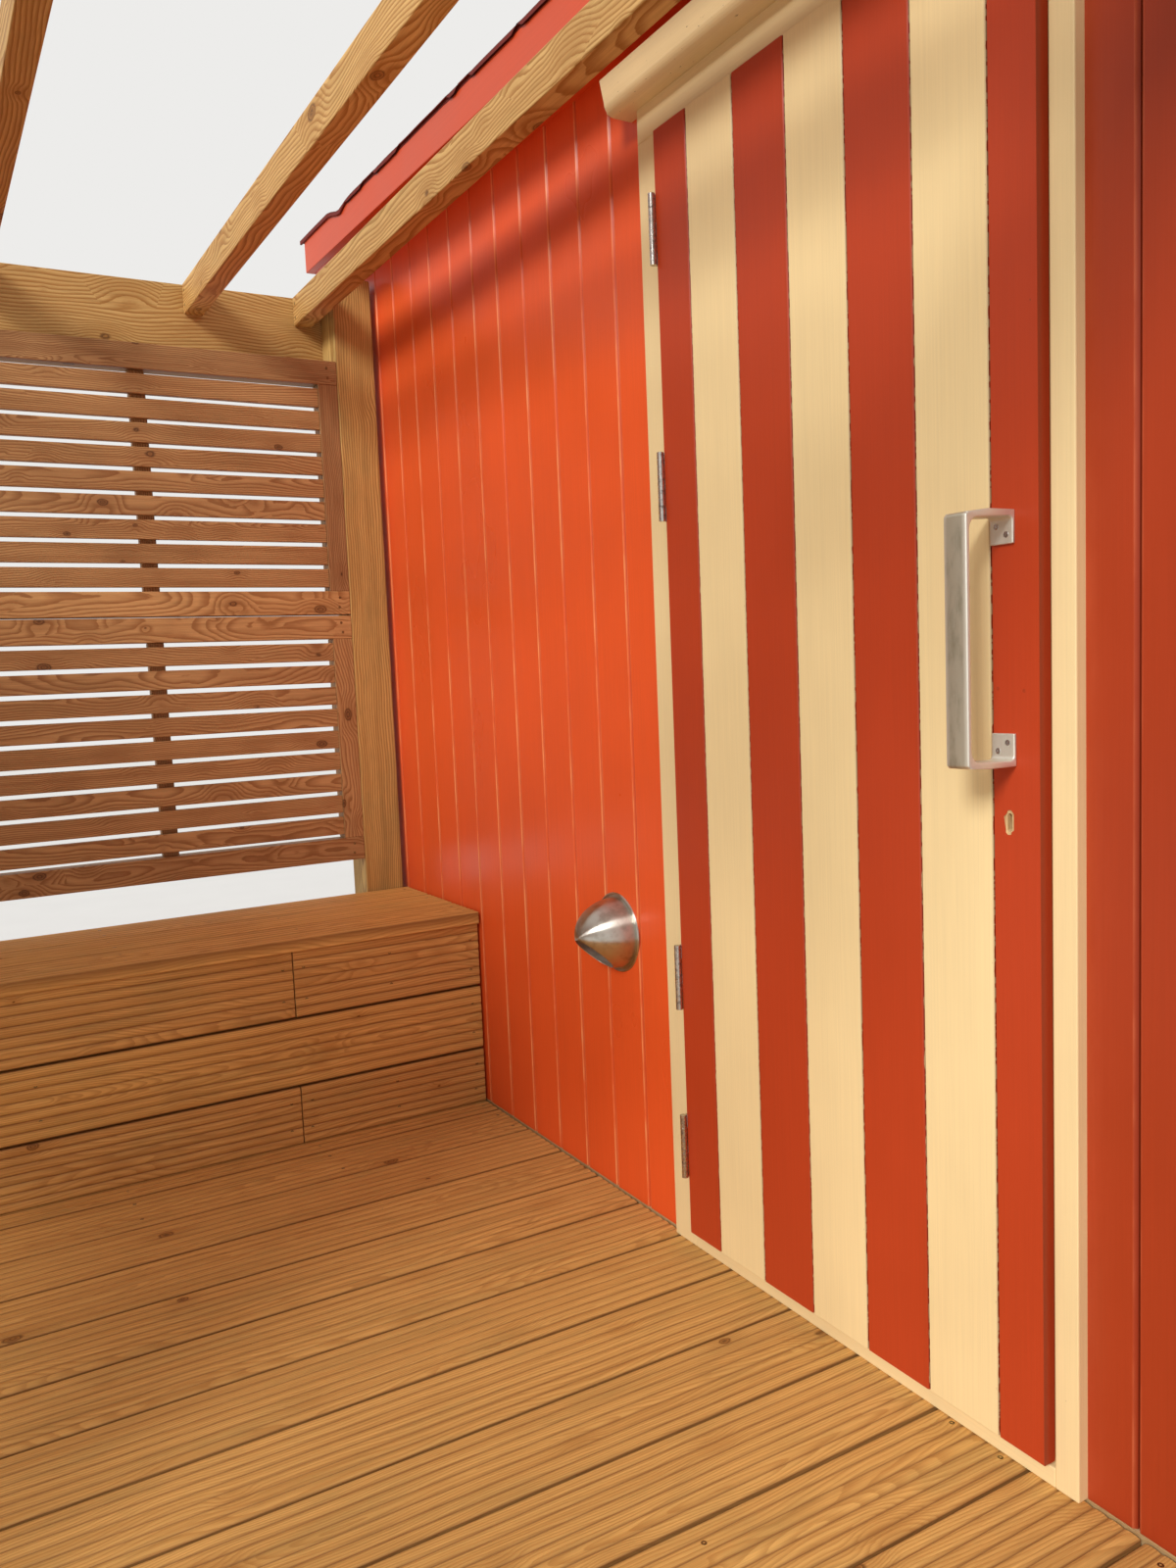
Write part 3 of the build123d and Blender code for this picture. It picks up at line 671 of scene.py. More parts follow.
def screws(name, spots, radius, material, seed, body, slot):
    # spots: (place, outward direction)
    mesh = meshOf(name, [place for place, _ in spots])
    mark(mesh, "facing", [c for _, facing in spots for c in facing], "FLOAT_VECTOR")
    head = screwHead(radius)
    values = {"Head": head, "Seed": seed, "Material": materials[material]}
    piece = runTree(name, screwTree, values, addPiece(name, mesh))
    bpy.data.objects.remove(head)
    return settle(piece, body, slot)


# Walls: grooved boards outside, plain lining inside
walls = dict(joint=hingeY + 65 * mm, nearJoint=hingeY - 829 * mm, pitch=113 * mm, groove=4 * mm, slot=1.4 * mm,
             boardThick=20 * mm, uneven=0.5 * mm, liningThick=15 * mm, liningPitch=96 * mm, liningGroove=3 * mm,
             liningUneven=0.2 * mm, slope=0.025)


def wallPiece(node, sides, linings, paint="glossPaintRed"):
    # sides and linings: (outward direction, from, to) along the wall
    low, high = corners(node)
    sloped = (high.y - low.y) > 0.2
    parts = []
    for index, (face, a, b) in enumerate(sides + linings):
        axis = 0 if abs(face.x) > 0.5 else 1
        if index < len(sides):
            depth, pitch, finish, seed, uneven = (walls["boardThick"], walls["pitch"], paint, index + 3,
                                                  walls["uneven"])
            profile = grooveProfile(pitch, depth, walls["groove"], walls["slot"])
            joint = walls["nearJoint"] if node == "front_wall_near" else walls["joint"]
            origin = joint * face.cross(zAxis)[1 - axis]
        else:
            depth, pitch, finish, seed, uneven = (walls["liningThick"], walls["liningPitch"],
                                                  "planedSpruceLining", index + 40, walls["liningUneven"])
            profile = grooveProfile(pitch, depth, walls["liningGroove"])
            origin = 0.0
        boxLow, boxHigh = low.copy(), high.copy()
        if face[axis] > 0:
            boxLow[axis] = boxHigh[axis] - depth
        else:
            boxHigh[axis] = boxLow[axis] + depth
        boxLow[1 - axis], boxHigh[1 - axis] = a, b
        parts.append(boardRow(node + "Row", boxLow, boxHigh, zAxis, face, profile, pitch, origin, finish, seed,
                              slope=walls["slope"] if sloped else 0, slopeFrom=high.y, uneven=uneven))
    settle(joinPieces(node + "_boards", parts), "building", "red_paint", node)


front, rear = corners("front_wall_far")[0].x, corners("rear_wall")[1].x
nearY, farY = corners("front_wall_near")[0].y, corners("front_wall_far")[1].y
innerFront, innerRear = corners("front_wall_far")[1].x, corners("rear_wall")[0].x
innerNear, innerFar = corners("near_end_wall")[1].y, corners("far_end_wall")[0].y
doorNear, doorFar = corners("front_wall_near")[1].y, corners("front_wall_far")[0].y
pastFront, pastRear = front + walls["boardThick"], rear - walls["boardThick"]
# All walls but the one beside the door take the lit copy of the red paint, brightened as painted sheen; that one
# takes the shaded copy, deeper as painted shade
wallPiece("front_wall_far", [(-xAxis, doorFar, farY), (yAxis, pastFront, innerFront)],
          [(xAxis, doorFar, innerFar)])
wallPiece("front_wall_near", [(-xAxis, nearY, doorNear), (-yAxis, pastFront, innerFront)],
          [(xAxis, innerNear, doorNear)], "glossPaintDeepRed")
wallPiece("front_wall_over_door", [(-xAxis, doorNear, doorFar)], [(xAxis, doorNear, doorFar)])
wallPiece("rear_wall", [(xAxis, nearY, farY), (yAxis, innerRear, pastRear), (-yAxis, innerRear, pastRear)],
          [(-xAxis, innerNear, innerFar)])
wallPiece("near_end_wall", [(-yAxis, innerFront, innerRear)], [(yAxis, innerFront, innerRear)])
wallPiece("far_end_wall", [(yAxis, innerFront, innerRear)], [(-yAxis, innerFront, innerRear)])
print("walls boarded")

# Floor: boards over a frame of joists; three bearers under it
floor = dict(boardThick=24 * mm, pitch=120 * mm, groove=1.2 * mm, rim=47 * mm, joistEvery=0.4, uneven=0.2 * mm)
low, high = corners("cabin_floor")
top, rim = high.z - floor["boardThick"], floor["rim"]
boards = boardRow("floorRow", corner(low.x, low.y, top), high, yAxis, zAxis,
                  grooveProfile(floor["pitch"], floor["boardThick"], floor["groove"]), floor["pitch"],
                  -high.x, "planedSpruceLining", 21, uneven=floor["uneven"])
inLow, inHigh = low.x + rim, high.x - rim
floorBars = [(low.copy(), corner(inLow, high.y, top)),
             (corner(inHigh, low.y, low.z), corner(high.x, high.y, top)),
             (corner(inLow, low.y, low.z), corner(inHigh, low.y + rim, top)),
             (corner(inLow, high.y - rim, low.z), corner(inHigh, high.y, top))]
joistCount = int((high.y - low.y - 2 * rim) / floor["joistEvery"])
for i in range(1, joistCount):
    y = low.y + rim + i * (high.y - low.y - 2 * rim) / joistCount
    floorBars.append((corner(inLow, y - rim / 2, low.z), corner(inHigh, y + rim / 2, top)))
bars = timbers("floorBars", floorBars, "sawnSpruceTreated", 22)
settle(joinPieces("cabin_floor_boards", [boards, bars]), "building", "plain_timber", "cabin_floor")
for seed, node in enumerate(("cabin_bearers", "deck_feet", "deck_joists", "deck_rims", "bench_studs",
                             "bench_bearers"), 31):
    settle(timbers(node + "_timber", islandBoxes(node), "sawnSpruceTreated", seed), "building", "plain_timber",
           node)
print("floor and substructure made")

# Terrace boards: seven rounded ridges each, ends sawn square so they look scalloped
deck = dict(ridges=7, ridgeDepth=2.6 * mm, width=145 * mm, pitch=150 * mm, uneven=0.6 * mm)


def ridged(width, thickness):
    return ridgedProfile(width, thickness, deck["ridges"], deck["ridgeDepth"])


deckIslands = sorted(islandBoxes("deck_boards"), key=lambda pair: pair[0].y)
fullBoards = [pair for pair in deckIslands if pair[1].y - pair[0].y > deck["width"] - mm]
low, high = fullBoards[0][0], fullBoards[-1][1]
rows = [boardRow("deckRow", low, high, xAxis, zAxis, ridged(deck["width"], high.z - low.z), deck["pitch"], low.y,
                 "treatedPineGrooved", 51, uneven=deck["uneven"])]
narrow = [pair for pair in deckIslands if pair not in fullBoards]
if narrow:
    rows.append(timbers("narrowBoard", narrow, "treatedPineGrooved", 52, ease=mm, face=zAxis,
                        shape=lambda w, t: ridgedProfile(w, t, max(1, round(w / deck["width"] * deck["ridges"])),
                                                         deck["ridgeDepth"])))
settle(joinPieces("deck_boards_ridged", rows), "building", "deck_timber", "deck_boards")

# Bench: ridged boards on top, in front and at the end
bench = dict(buttJoint=-466 * mm, gap=2 * mm)
split = []
for index, (a, b) in enumerate(sorted(islandBoxes("bench_front_boards"), key=lambda pair: pair[0].z)):
    if index % 2 == 0:
        split.append((a, corner(bench["buttJoint"] - bench["gap"] / 2, b.y, b.z)))
        split.append((corner(bench["buttJoint"] + bench["gap"] / 2, a.y, a.z), b))
    else:
        split.append((a, b))
for seed, (node, face) in enumerate((("bench_front_boards", -yAxis), ("bench_back_boards", yAxis),
                                     ("bench_end_boards", -xAxis), ("bench_top_boards", zAxis)), 61):
    boxes = split if node == "bench_front_boards" else islandBoxes(node)
    settle(timbers(node + "_ridged", boxes, "treatedPineGrooved", seed, ease=mm, face=face, shape=ridged),
           "building", "deck_timber", node)
print("terrace and bench made")

# Posts, beams and pergola joists
frameEase = dict(post_wall_far=3, post_wall_near=3, posts_outer=3, beam_far=2, beam_near=2, pergola_joists=2.5)
for seed, (node, ease) in enumerate(frameEase.items(), 71):
    finish = "treatedPinePost" if node.startswith("post") else "treatedPineJoist"
    settle(timbers(node + "_timber", islandBoxes(node), finish, seed, ease=ease * mm), "building",
           "frame_timber", node)

# Slatted screens: two rails, two stiles, nine slats and three upright battens behind them
screens = dict(rail=58 * mm, stile=50 * mm, slats=9, slatThick=18 * mm, slatGap=10.5 * mm, batten=37 * mm,
               battenThick=22 * mm, battens=3, ease=1.5 * mm, uneven=0.5 * mm)


def screen(node, out, seed):
    # out looks from the slats to the side the battens are not on
    low, high = corners(node)
    deepAxis, runAxis, along = (1, 0, xAxis) if abs(out.y) > 0.5 else (0, 1, yAxis)
    length, height, depth = high[runAxis] - low[runAxis], high.z - low.z, high[deepAxis] - low[deepAxis]

    def at(run0, run1, deep0, deep1, z0, z1):
        a, b = low.copy(), low.copy()
        a[runAxis], b[runAxis] = low[runAxis] + run0, low[runAxis] + run1
        if out[deepAxis] < 0:
            a[deepAxis], b[deepAxis] = low[deepAxis] + deep0, low[deepAxis] + deep1
        else:
            a[deepAxis], b[deepAxis] = high[deepAxis] - deep1, high[deepAxis] - deep0
        a.z, b.z = low.z + z0, low.z + z1
        return a, b

    rail, stile, gap, half = screens["rail"], screens["stile"], screens["slatGap"], screens["batten"] / 2
    slatFrom = (depth - screens["slatThick"] - screens["battenThick"]) / 2
    slatTo = slatFrom + screens["slatThick"]
    bars = [at(0, length, 0, depth, 0, rail), at(0, length, 0, depth, height - rail, height)]
    bars += [at(start, start + stile, 0.5 * mm, depth - 0.5 * mm, rail, height - rail)
             for start in (0, length - stile)]
    for i in range(screens["battens"]):
        middle = stile + (length - 2 * stile) * (i + 1) / (screens["battens"] + 1)
        bars.append(at(middle - half, middle + half, slatTo, slatTo + screens["battenThick"],
                       rail, height - rail))
    frameBars = timbers(node + "Frame", bars, "oiledPineSlat", seed, ease=screens["ease"])
    slatHeight = (height - 2 * rail - (screens["slats"] + 1) * gap) / screens["slats"]
    first, last = at(stile, length - stile, slatFrom, slatTo, rail + gap, height - rail - gap)
    profile = easedProfile(slatHeight, screens["slatThick"], screens["ease"])
    origin = first.z if turnTo(along, out).col[1].z > 0 else -last.z
    slats = boardRow(node + "Slats", first, last, along, out, profile, slatHeight + gap, origin,
                     "oiledPineSlat", seed + 5, uneven=screens["uneven"])
    settle(joinPieces(node + "_timber", [frameBars, slats]), "building", "slat_timber", node)


for seed, (node, out) in enumerate((("end_screen_lower", -yAxis), ("end_screen_upper", -yAxis),
                                    ("side_screen_lower", xAxis), ("side_screen_upper", xAxis)), 81):
    screen(node, out, seed)
print("posts, beams and screens made")

# Roof: painted fascias, painted underside, felt with a turned-down edge. All dip where a board has sagged
ceilingTop = corners("front_wall_far")[1].z
roof = dict(cut=0.02, crossCut=0.11, slope=walls["slope"], dipY=corners("fascia_front")[1].y - 272 * mm,
            dipDepth=8.5 * mm, dipReach=40 * mm, dipAbove=40 * mm, feltDent=1.8 * mm, feltWave=9,
            lipBelow=67 * mm, lipTrim=9.5 * mm, lipOver=60 * mm, lipFrom=corners("fascia_front")[1].y - 290 * mm)


def easedCopy(node, name, material, width, segments=2, along=None, cuts=(0, 0), dips=False, felt=False, seed=1):
    # a merged copy of a CAD node with eased edges, marked for grain
    work = mergedCopy(node)
    bmesh.ops.dissolve_limit(work, angle_limit=math.radians(0.6), verts=work.verts, edges=work.edges)
    for k, axis in enumerate((xAxis, yAxis)):
        if cuts[k]:
            lowest, highest = min(v.co[k] for v in work.verts), max(v.co[k] for v in work.verts)
            for i in range(1, int((highest - lowest) / cuts[k])):
                bmesh.ops.bisect_plane(work, geom=work.verts[:] + work.edges[:] + work.faces[:],
                                       plane_co=axis * (lowest + i * cuts[k]), plane_no=axis)
    bmesh.ops.recalc_face_normals(work, faces=work.faces)
    piece = addPiece(name, meshFrom(name, work))
    bevel = piece.modifiers.new("ease", "BEVEL")
    bevel.width, bevel.segments, bevel.limit_method = width, segments, "ANGLE"
    bevel.angle_limit = math.radians(35)
    bakeModifiers(piece)
    data = piece.data
    size = Vector(piece.dimensions)
    run = along or [xAxis, yAxis, zAxis][max(range(3), key=lambda k: size[k])]
    turn = turnTo(run, zAxis if abs(run.z) < 0.5 else xAxis).transposed()
    chance = random.Random(seed)
    shift = Vector((chance.uniform(-40, 40), chance.uniform(-0.1, 0.1), chance.uniform(-0.1, 0.1)))
    grain = []
    for vert in data.vertices:
        place = vert.co
        if felt:
            wave = noise.noise(Vector((place.x * roof["feltWave"], place.y * roof["feltWave"], 2.0)))
            place.z += roof["feltDent"] * wave
        if dips:
            above = place.z - (ceilingTop - roof["slope"] * (farY - place.y))
            if felt and above < roof["lipBelow"]:
                place.z += roof["lipTrim"] * min(1, max(0, (roof["lipFrom"] - place.y) / roof["lipOver"]))
            if above > roof["dipAbove"]:
                place.z -= roof["dipDepth"] * math.exp(-((place.y - roof["dipY"]) / roof["dipReach"]) ** 2)
        grain.extend(turn @ place + shift)
    mark(data, "grainPos", grain, "FLOAT_VECTOR")
    mark(data, "boardTone", [0.5] * len(data.vertices))
    data.materials.clear()
    data.materials.append(materials[material])
    return piece


for index, node in enumerate(("fascia_front", "fascia_rear", "fascia_near", "fascia_far")):
    lengthwise = index < 2
    board = easedCopy(node, node + "_board", "glossPaintFasciaRed", 2 * mm, dips=lengthwise, seed=91 + index,
                      cuts=(0, roof["cut"] if lengthwise else 0))
    settle(board, "building", "red_paint", node)
# The underside takes the lit copy of the red paint, brightened as painted sheen
settle(easedCopy("roof_deck", "roof_deck_painted", "glossPaintRed", 1 * mm, along=yAxis, cuts=(0, roof["cut"]),
                 dips=True, seed=95), "building", "plain_timber", "roof_deck")
felt = easedCopy("roof_covering", "roof_felt", "slateBitumenFelt", 1.2 * mm, dips=True, felt=True, seed=96,
                 cuts=(roof["crossCut"], roof["cut"]))
felt.data.materials.append(materials["paintedFeltEdge"])
# Faces of the felt that do not look up take the dark maroon
for polygon in felt.data.polygons:
    if polygon.normal.z < 0.3:
        polygon.material_index = 1
settle(felt, "building", "roof_felt", "roof_covering")

ceiling = dict(pitch=96 * mm, thick=12 * mm, groove=3 * mm, smallest=5 * mm)
store = newStore()
chance = random.Random(97)
y = innerNear
while y < innerFar - ceiling["smallest"]:
    width = min(ceiling["pitch"], innerFar - y)
    level = ceilingTop - roof["slope"] * (farY - y) - ceiling["thick"]
    place, sizes = barPlace(corner(innerFront, y, level), corner(innerRear, y + width, level + ceiling["thick"]),
                            xAxis, -zAxis)
    addBar(store, grooveProfile(width, ceiling["thick"], ceiling["groove"]), sizes[0], mm, place,
           (chance.uniform(-40, 40), chance.uniform(-0.1, 0), chance.uniform(-0.05, 0.1)), chance.random())
    y += ceiling["pitch"]
settle(storeToPiece("ceiling_boards", store, "planedSpruceLining"), "building", "plain_timber")
print("roof made")

# Door frame and hood
for index, node in enumerate(("door_jamb_near", "door_jamb_far", "door_head", "door_sill", "door_stops")):
    settle(easedCopy(node, node + "_painted", "satinPaintCream", 1.6 * mm, seed=101 + index), "building",
           "cream_paint", node)

hood = dict(lowerRound=20 * mm, upperRound=3 * mm, lean=7 * mm, ends=2 * mm, steps=8, rim=0.3)
low, high = corners("door_hood")
deep, tall = high.x - low.x, high.z - low.z
profile = [(deep, 0, 0, 0), (deep, tall, 0, 0)]
for radius, cornerX, cornerZ, start in (
        (hood["upperRound"], hood["upperRound"], tall - hood["upperRound"], 90),
        (hood["lowerRound"], hood["lowerRound"] + hood["lean"], hood["lowerRound"], 180)):
    for i in range(hood["steps"] + 1):
        angle = math.radians(start + 90 * i / hood["steps"])
        profile.append((cornerX + radius * math.cos(angle), cornerZ + radius * math.sin(angle), 0, hood["rim"]))
store = newStore()
hoodTurn = Matrix((yAxis, xAxis, zAxis)).transposed().to_4x4()
addBar(store, list(reversed(profile)), high.y - low.y, hood["ends"], Matrix.Translation(low) @ hoodTurn,
       (3.1, 0.02, 0.04))
settle(storeToPiece("door_hood_rounded", store, "satinPaintCream"), "building", "cream_paint", "door_hood")

# Door leaf: seven grooved boards, a keyhole in ragged bare wood, three ledges behind
leaf = dict(pitch=115 * mm, groove=1.8 * mm, slot=1.5 * mm, wholeBoards=5, ease=1.5 * mm, uneven=0.15 * mm,
            keyY=hingeY - 685 * mm, keyZ=1102 * mm, keyWide=7 * mm, keyHigh=22 * mm, keyPoints=20,
            bareWider=6 * mm, bareHigher=5 * mm, bareDepth=1.2 * mm, bareRough=1.6 * mm)
low, high = corners("door_leaf")
lastJoint = high.y - leafStripes["fromHinge"] - leaf["wholeBoards"] * leaf["pitch"]
leafProfile = grooveProfile(leaf["pitch"], high.x - low.x, leaf["groove"], leaf["slot"])
leafRows = [boardRow("leafRow", start, end, zAxis, -xAxis, leafProfile, leaf["pitch"], lastJoint,
                     "satinPaintStriped", seed, ease=leaf["ease"], uneven=leaf["uneven"])
            for start, end, seed in ((corner(low.x, lastJoint, low.z), high, 111),
                                     (low, corner(high.x, lastJoint, high.z), 114))]
lockBoard = leafRows[1]
chance = random.Random(115)
past = 5 * mm
for wide, tall, depth, rough in (
        (leaf["keyWide"] + leaf["bareWider"], leaf["keyHigh"] + leaf["bareHigher"], leaf["bareDepth"],
         leaf["bareRough"]),
        (leaf["keyWide"], leaf["keyHigh"], high.x - low.x + past, 0)):
    outline = []
    for i in range(leaf["keyPoints"]):
        angle = 2 * math.pi * i / leaf["keyPoints"]
        rise = (tall - wide) / 2 * (1 if math.sin(angle) >= 0 else -1)
        reach = wide / 2 + chance.uniform(-rough, rough)
        outline.append((leaf["keyY"] + reach * math.cos(angle), leaf["keyZ"] + rise + reach * math.sin(angle)))
    work = bmesh.new()
    rings = [[work.verts.new((x, y, z)) for y, z in outline] for x in (low.x - past, low.x + depth)]
    for i in range(len(outline)):
        j = (i + 1) % len(outline)
        work.faces.new((rings[0][i], rings[0][j], rings[1][j], rings[1][i]))
    work.faces.new(rings[0])
    work.faces.new(rings[1])
    bmesh.ops.recalc_face_normals(work, faces=work.faces)
    cutter = addPiece("keyhole", meshFrom("keyhole", work))
    hole = lockBoard.modifiers.new("keyhole", "BOOLEAN")
    hole.object, hole.operation, hole.solver = cutter, "DIFFERENCE", "EXACT"
    bakeModifiers(lockBoard)
    bpy.data.objects.remove(cutter)
leafPiece = joinPieces("door_leaf_boards", leafRows)
data = leafPiece.data
for name in ("grainPos", "boardTone"):
    data.attributes.remove(data.attributes[name])
chance = random.Random(113)
shifts = [Vector([chance.uniform(-40, 40), chance.uniform(-0.1, 0.1), chance.uniform(-0.1, 0.1)])
          for board in range(9)]
data.materials.append(materials["planedSpruceLining"])
bareWood = len(data.materials) - 1
grain = []
for polygon in data.polygons:
    board = int((hingeY - leafStripes["fromHinge"] - polygon.center.y) // leaf["pitch"]) + 1
    for vertex in polygon.vertices:
        place = data.vertices[vertex].co
        grain.extend(Vector((place.z, place.y, place.x)) + shifts[board])
    aside, over = abs(polygon.center.y - leaf["keyY"]), abs(polygon.center.z - leaf["keyZ"])
    sunk = abs(polygon.normal.x) < 0.5 or polygon.center.x > low.x + leaf["bareDepth"] / 2
    inKeyhole = aside < leaf["keyWide"] * 1.6 and over < leaf["keyHigh"] and sunk
    if polygon.normal.x > 0.9 or inKeyhole:
        polygon.material_index = bareWood
mark(data, "grainPos", grain, "FLOAT_VECTOR", "CORNER")
mark(data, "boardTone", [0.5] * len(data.loops), domain="CORNER")
settle(leafPiece, "door", "striped_paint", "door_leaf")
settle(timbers("door_ledges_timber", islandBoxes("door_ledges"), "planedSpruceLining", 112, ease=3 * mm), "door",
       "wall_timber", "door_ledges")
print("door made")


# Metal parts
def smoothShade(piece, degrees):
    piece.data.shade_smooth()
    piece.data.set_sharp_from_angle(angle=math.radians(degrees))


for node, body in (("hinge_frame_plates", "building"), ("hinge_leaf_plates", "door")):
    piece = easedCopy(node, node + "_steel", "zincPlatedSteel", 0.25 * mm, segments=1, seed=121)
    smoothShade(piece, 32)
    settle(piece, body, "hinge_steel", node)

# Handle: one flat bar with bowed arms, thicker in its inner corners, on two feet
handle = dict(reach=80 * mm, wide=33 * mm, thick=7 * mm, plate=4 * mm, foot=38 * mm, bow=5 * mm,
              outerRound=5 * mm, innerRound=14 * mm, fillet=6 * mm, edge=1.7 * mm, crown=1.4 * mm, steps=8,
              upperArm=40 * mm, lowerArm=60 * mm, armRubAndSheen=0.75)
handleLow, handleHigh = corners("door_handle")
middleY = handleHigh.y - handle["wide"] / 2


def roundedOutline(points, steps):
    # a closed outline of (across, up, radius) corners, each rounded by its radius
    result = []
    for before, here, after in zip(points[-1:] + points[:-1], points, points[1:] + points[:1]):
        place = Vector(here[:2])
        if not here[2]:
            result.append(place)
            continue
        back, on = (Vector(before[:2]) - place).normalized(), (Vector(after[:2]) - place).normalized()
        half = back.angle(on) / 2
        middle = place + (back + on).normalized() * (here[2] / math.sin(half))
        start, end = [place + way * (here[2] / math.tan(half)) - middle for way in (back, on)]
        result += [middle + start.slerp(end, i / steps).normalized() * here[2] for i in range(steps + 1)]
    return result


out, bar, plate, bow, foot = (handle[key] for key in ("reach", "thick", "plate", "bow", "foot"))
tall = handleHigh.z - handleLow.z
outline = roundedOutline([
    (0, 0, 0), (out * 0.55, 0, handle["upperArm"]), (out, bow * 0.5, handle["outerRound"]),
    (out, tall - bow, handle["outerRound"]), (out * 0.5, tall, handle["lowerArm"]), (0, tall, 0),
    (0, tall - foot, 0), (plate, tall - foot, 1 * mm), (plate, tall - bar, handle["fillet"]),
    (out - bar, tall - bar - bow * 0.8, handle["innerRound"]),
    (out - bar, bar + bow * 0.4, handle["innerRound"]),
    (plate, bar, handle["fillet"]), (plate, foot, 1 * mm), (0, foot, 0)], handle["steps"])
edges = [(b - a).normalized() for a, b in zip(outline, outline[1:] + outline[:1])]
inward = [Vector((-before.y - after.y, before.x + after.x)).normalized()
          for before, after in zip(edges[-1:] + edges[:-1], edges)]
edge, halfWidth = handle["edge"], handle["wide"] / 2
sections = [(halfWidth - edge * (1 - math.sin(math.radians(a))), edge * (1 - math.cos(math.radians(a))))
            for a in (90, 60, 30, 0)] + [(halfWidth * share, 0.0) for share in (0.6, 0.3)]
sections += [(0.0, 0.0)] + [(-across, inset) for across, inset in reversed(sections)]
points, rubAndSheen = [], []
for across, inset in sections:
    # the front's rims are marked pale as hand polish and painted highlight, the arms as painted reflection
    rim = max(0.0, abs(across) / halfWidth - 0.6) / 0.4
    for place, turn in zip(outline, inward):
        isFront = place.x > out - bar * 0.6
        depth = inset + (handle["crown"] * (across / halfWidth) ** 2 if isFront else 0)
        here = place + turn * depth
        points.append((handleHigh.x - here.x, middleY + across, handleLow.z + here.y))
        rubAndSheen.append(rim if isFront else max(rim, handle["armRubAndSheen"]))
size = len(outline)
faces = [(r + i, r + (i + 1) % size, r + size + (i + 1) % size, r + size + i)
         for r in range(0, len(points) - size, size) for i in range(size)]
faces += [tuple(range(size)), tuple(reversed(range(len(points) - size, len(points))))]
mesh = meshOf("handle", points, faces)
mark(mesh, "edge", rubAndSheen)
work = bmesh.new()
work.from_mesh(mesh)
bmesh.ops.recalc_face_normals(work, faces=work.faces)
work.to_mesh(mesh)
work.free()
piece = addPiece("door_handle_bar", mesh, "rubbedCastAluminium")
smoothShade(piece, 48)
settle(piece, "door", "handle_metal", "door_handle")

# Cowl: a spun dome bowing over to a blunt tip, cut open below, on a rolled flange; a wire grille behind
cowl = dict(dome=66 * mm, flange=75 * mm, flangeThick=3 * mm, bead=2.4 * mm, wall=1.2 * mm, reach=86 * mm,
            drop=68 * mm, dropFrom=16 * mm, tipDrop=4 * mm, bands=24, around=96, wire=0.8 * mm, mesh=6 * mm,
            grilleBack=1.2 * mm, flangeInside=5 * mm, wireReach=2 * mm)
low, high = corners("vent_cowl")
centre = corner(high.x, (low.y + high.y) / 2, (low.z + high.z) / 2)


def spin(outline, around, closed=False):
    # outline: (out from the wall, radius) pairs turned about the cowl's own axis
    work = bmesh.new()
    rings = []
    for out, radius in outline:
        count = around if radius > 1e-6 else 1
        turns = [2 * math.pi * i / around for i in range(count)]
        rings.append([work.verts.new(centre + corner(-out, radius * math.cos(turn), radius * math.sin(turn)))
                      for turn in turns])
    for a, b in list(zip(rings, rings[1:])) + ([(rings[-1], rings[0])] if closed else []):
        for i in range(around):
            j = (i + 1) % around
            work.faces.new((a[i], a[j], b[0]) if len(b) == 1 else (a[i], a[j], b[j], b[i]))
    bmesh.ops.recalc_face_normals(work, faces=work.faces)
    return work


quarter = [math.pi / 2 * i / cowl["bands"] for i in range(cowl["bands"])]
outline = [(cowl["reach"] * math.sin(turn), cowl["dome"] * math.cos(turn)) for turn in quarter]
work = spin(outline + [(cowl["reach"], 0.0)], cowl["around"])
mouthLine = corner(cowl["reach"] - cowl["dropFrom"], 0, cowl["drop"] - cowl["tipDrop"]).normalized()
bmesh.ops.bisect_plane(work, geom=work.verts[:] + work.edges[:] + work.faces[:],
                       plane_co=centre + corner(-cowl["dropFrom"], 0, -cowl["drop"]),
                       plane_no=corner(mouthLine.z, 0, mouthLine.x), clear_inner=True)
dome = addPiece("dome", meshFrom("dome", work), "spunStainlessSteel")
dome.data.materials.append(materials["dullStainlessSteel"])
shell = dome.modifiers.new("wall", "SOLIDIFY")
shell.thickness, shell.offset, shell.use_even_offset = cowl["wall"], -1, True
shell.material_offset = 1
bakeModifiers(dome)
inner, outer, deep, bead = cowl["dome"] - cowl["flangeInside"], cowl["flange"], cowl["flangeThick"], cowl["bead"]
flangeLine = [(0, inner), (deep * 0.4, inner), (deep * 0.5, inner + 1 * mm), (deep * 0.5, outer - 2 * bead)]
for degrees in (15, 45, 75, 105, 135, 165):
    angle = math.radians(degrees)
    flangeLine.append((deep * 0.25 + (deep * 0.75) * math.sin(angle), outer - bead - bead * math.cos(angle)))
work = spin(flangeLine + [(0, outer)], cowl["around"], closed=True)
flange = addPiece("flange", meshFrom("flange", work), "spunStainlessSteel")
grille, wire, reach, back = [], cowl["wire"], inner + cowl["wireReach"], centre.x - cowl["grilleBack"]
steps = int(reach / cowl["mesh"])
for i in range(-steps, steps + 1):
    offset = i * cowl["mesh"]
    chord = math.sqrt(reach ** 2 - offset ** 2)
    grille.append((corner(back - wire, centre.y - chord, centre.z + offset - wire / 2),
                   corner(back, centre.y + chord, centre.z + offset + wire / 2)))
    grille.append((corner(back - 2 * wire, centre.y + offset - wire / 2, centre.z - chord),
                   corner(back - wire, centre.y + offset + wire / 2, centre.z + chord)))
wires = timbers("grille", grille, "zincPlatedSteel", 131, ease=0.2 * mm)
cowlPiece = joinPieces("vent_cowl_spun", [dome, flange, wires])
smoothShade(cowlPiece, 38)
settle(cowlPiece, "building", "cowl_steel", "vent_cowl")
print("metal parts made")

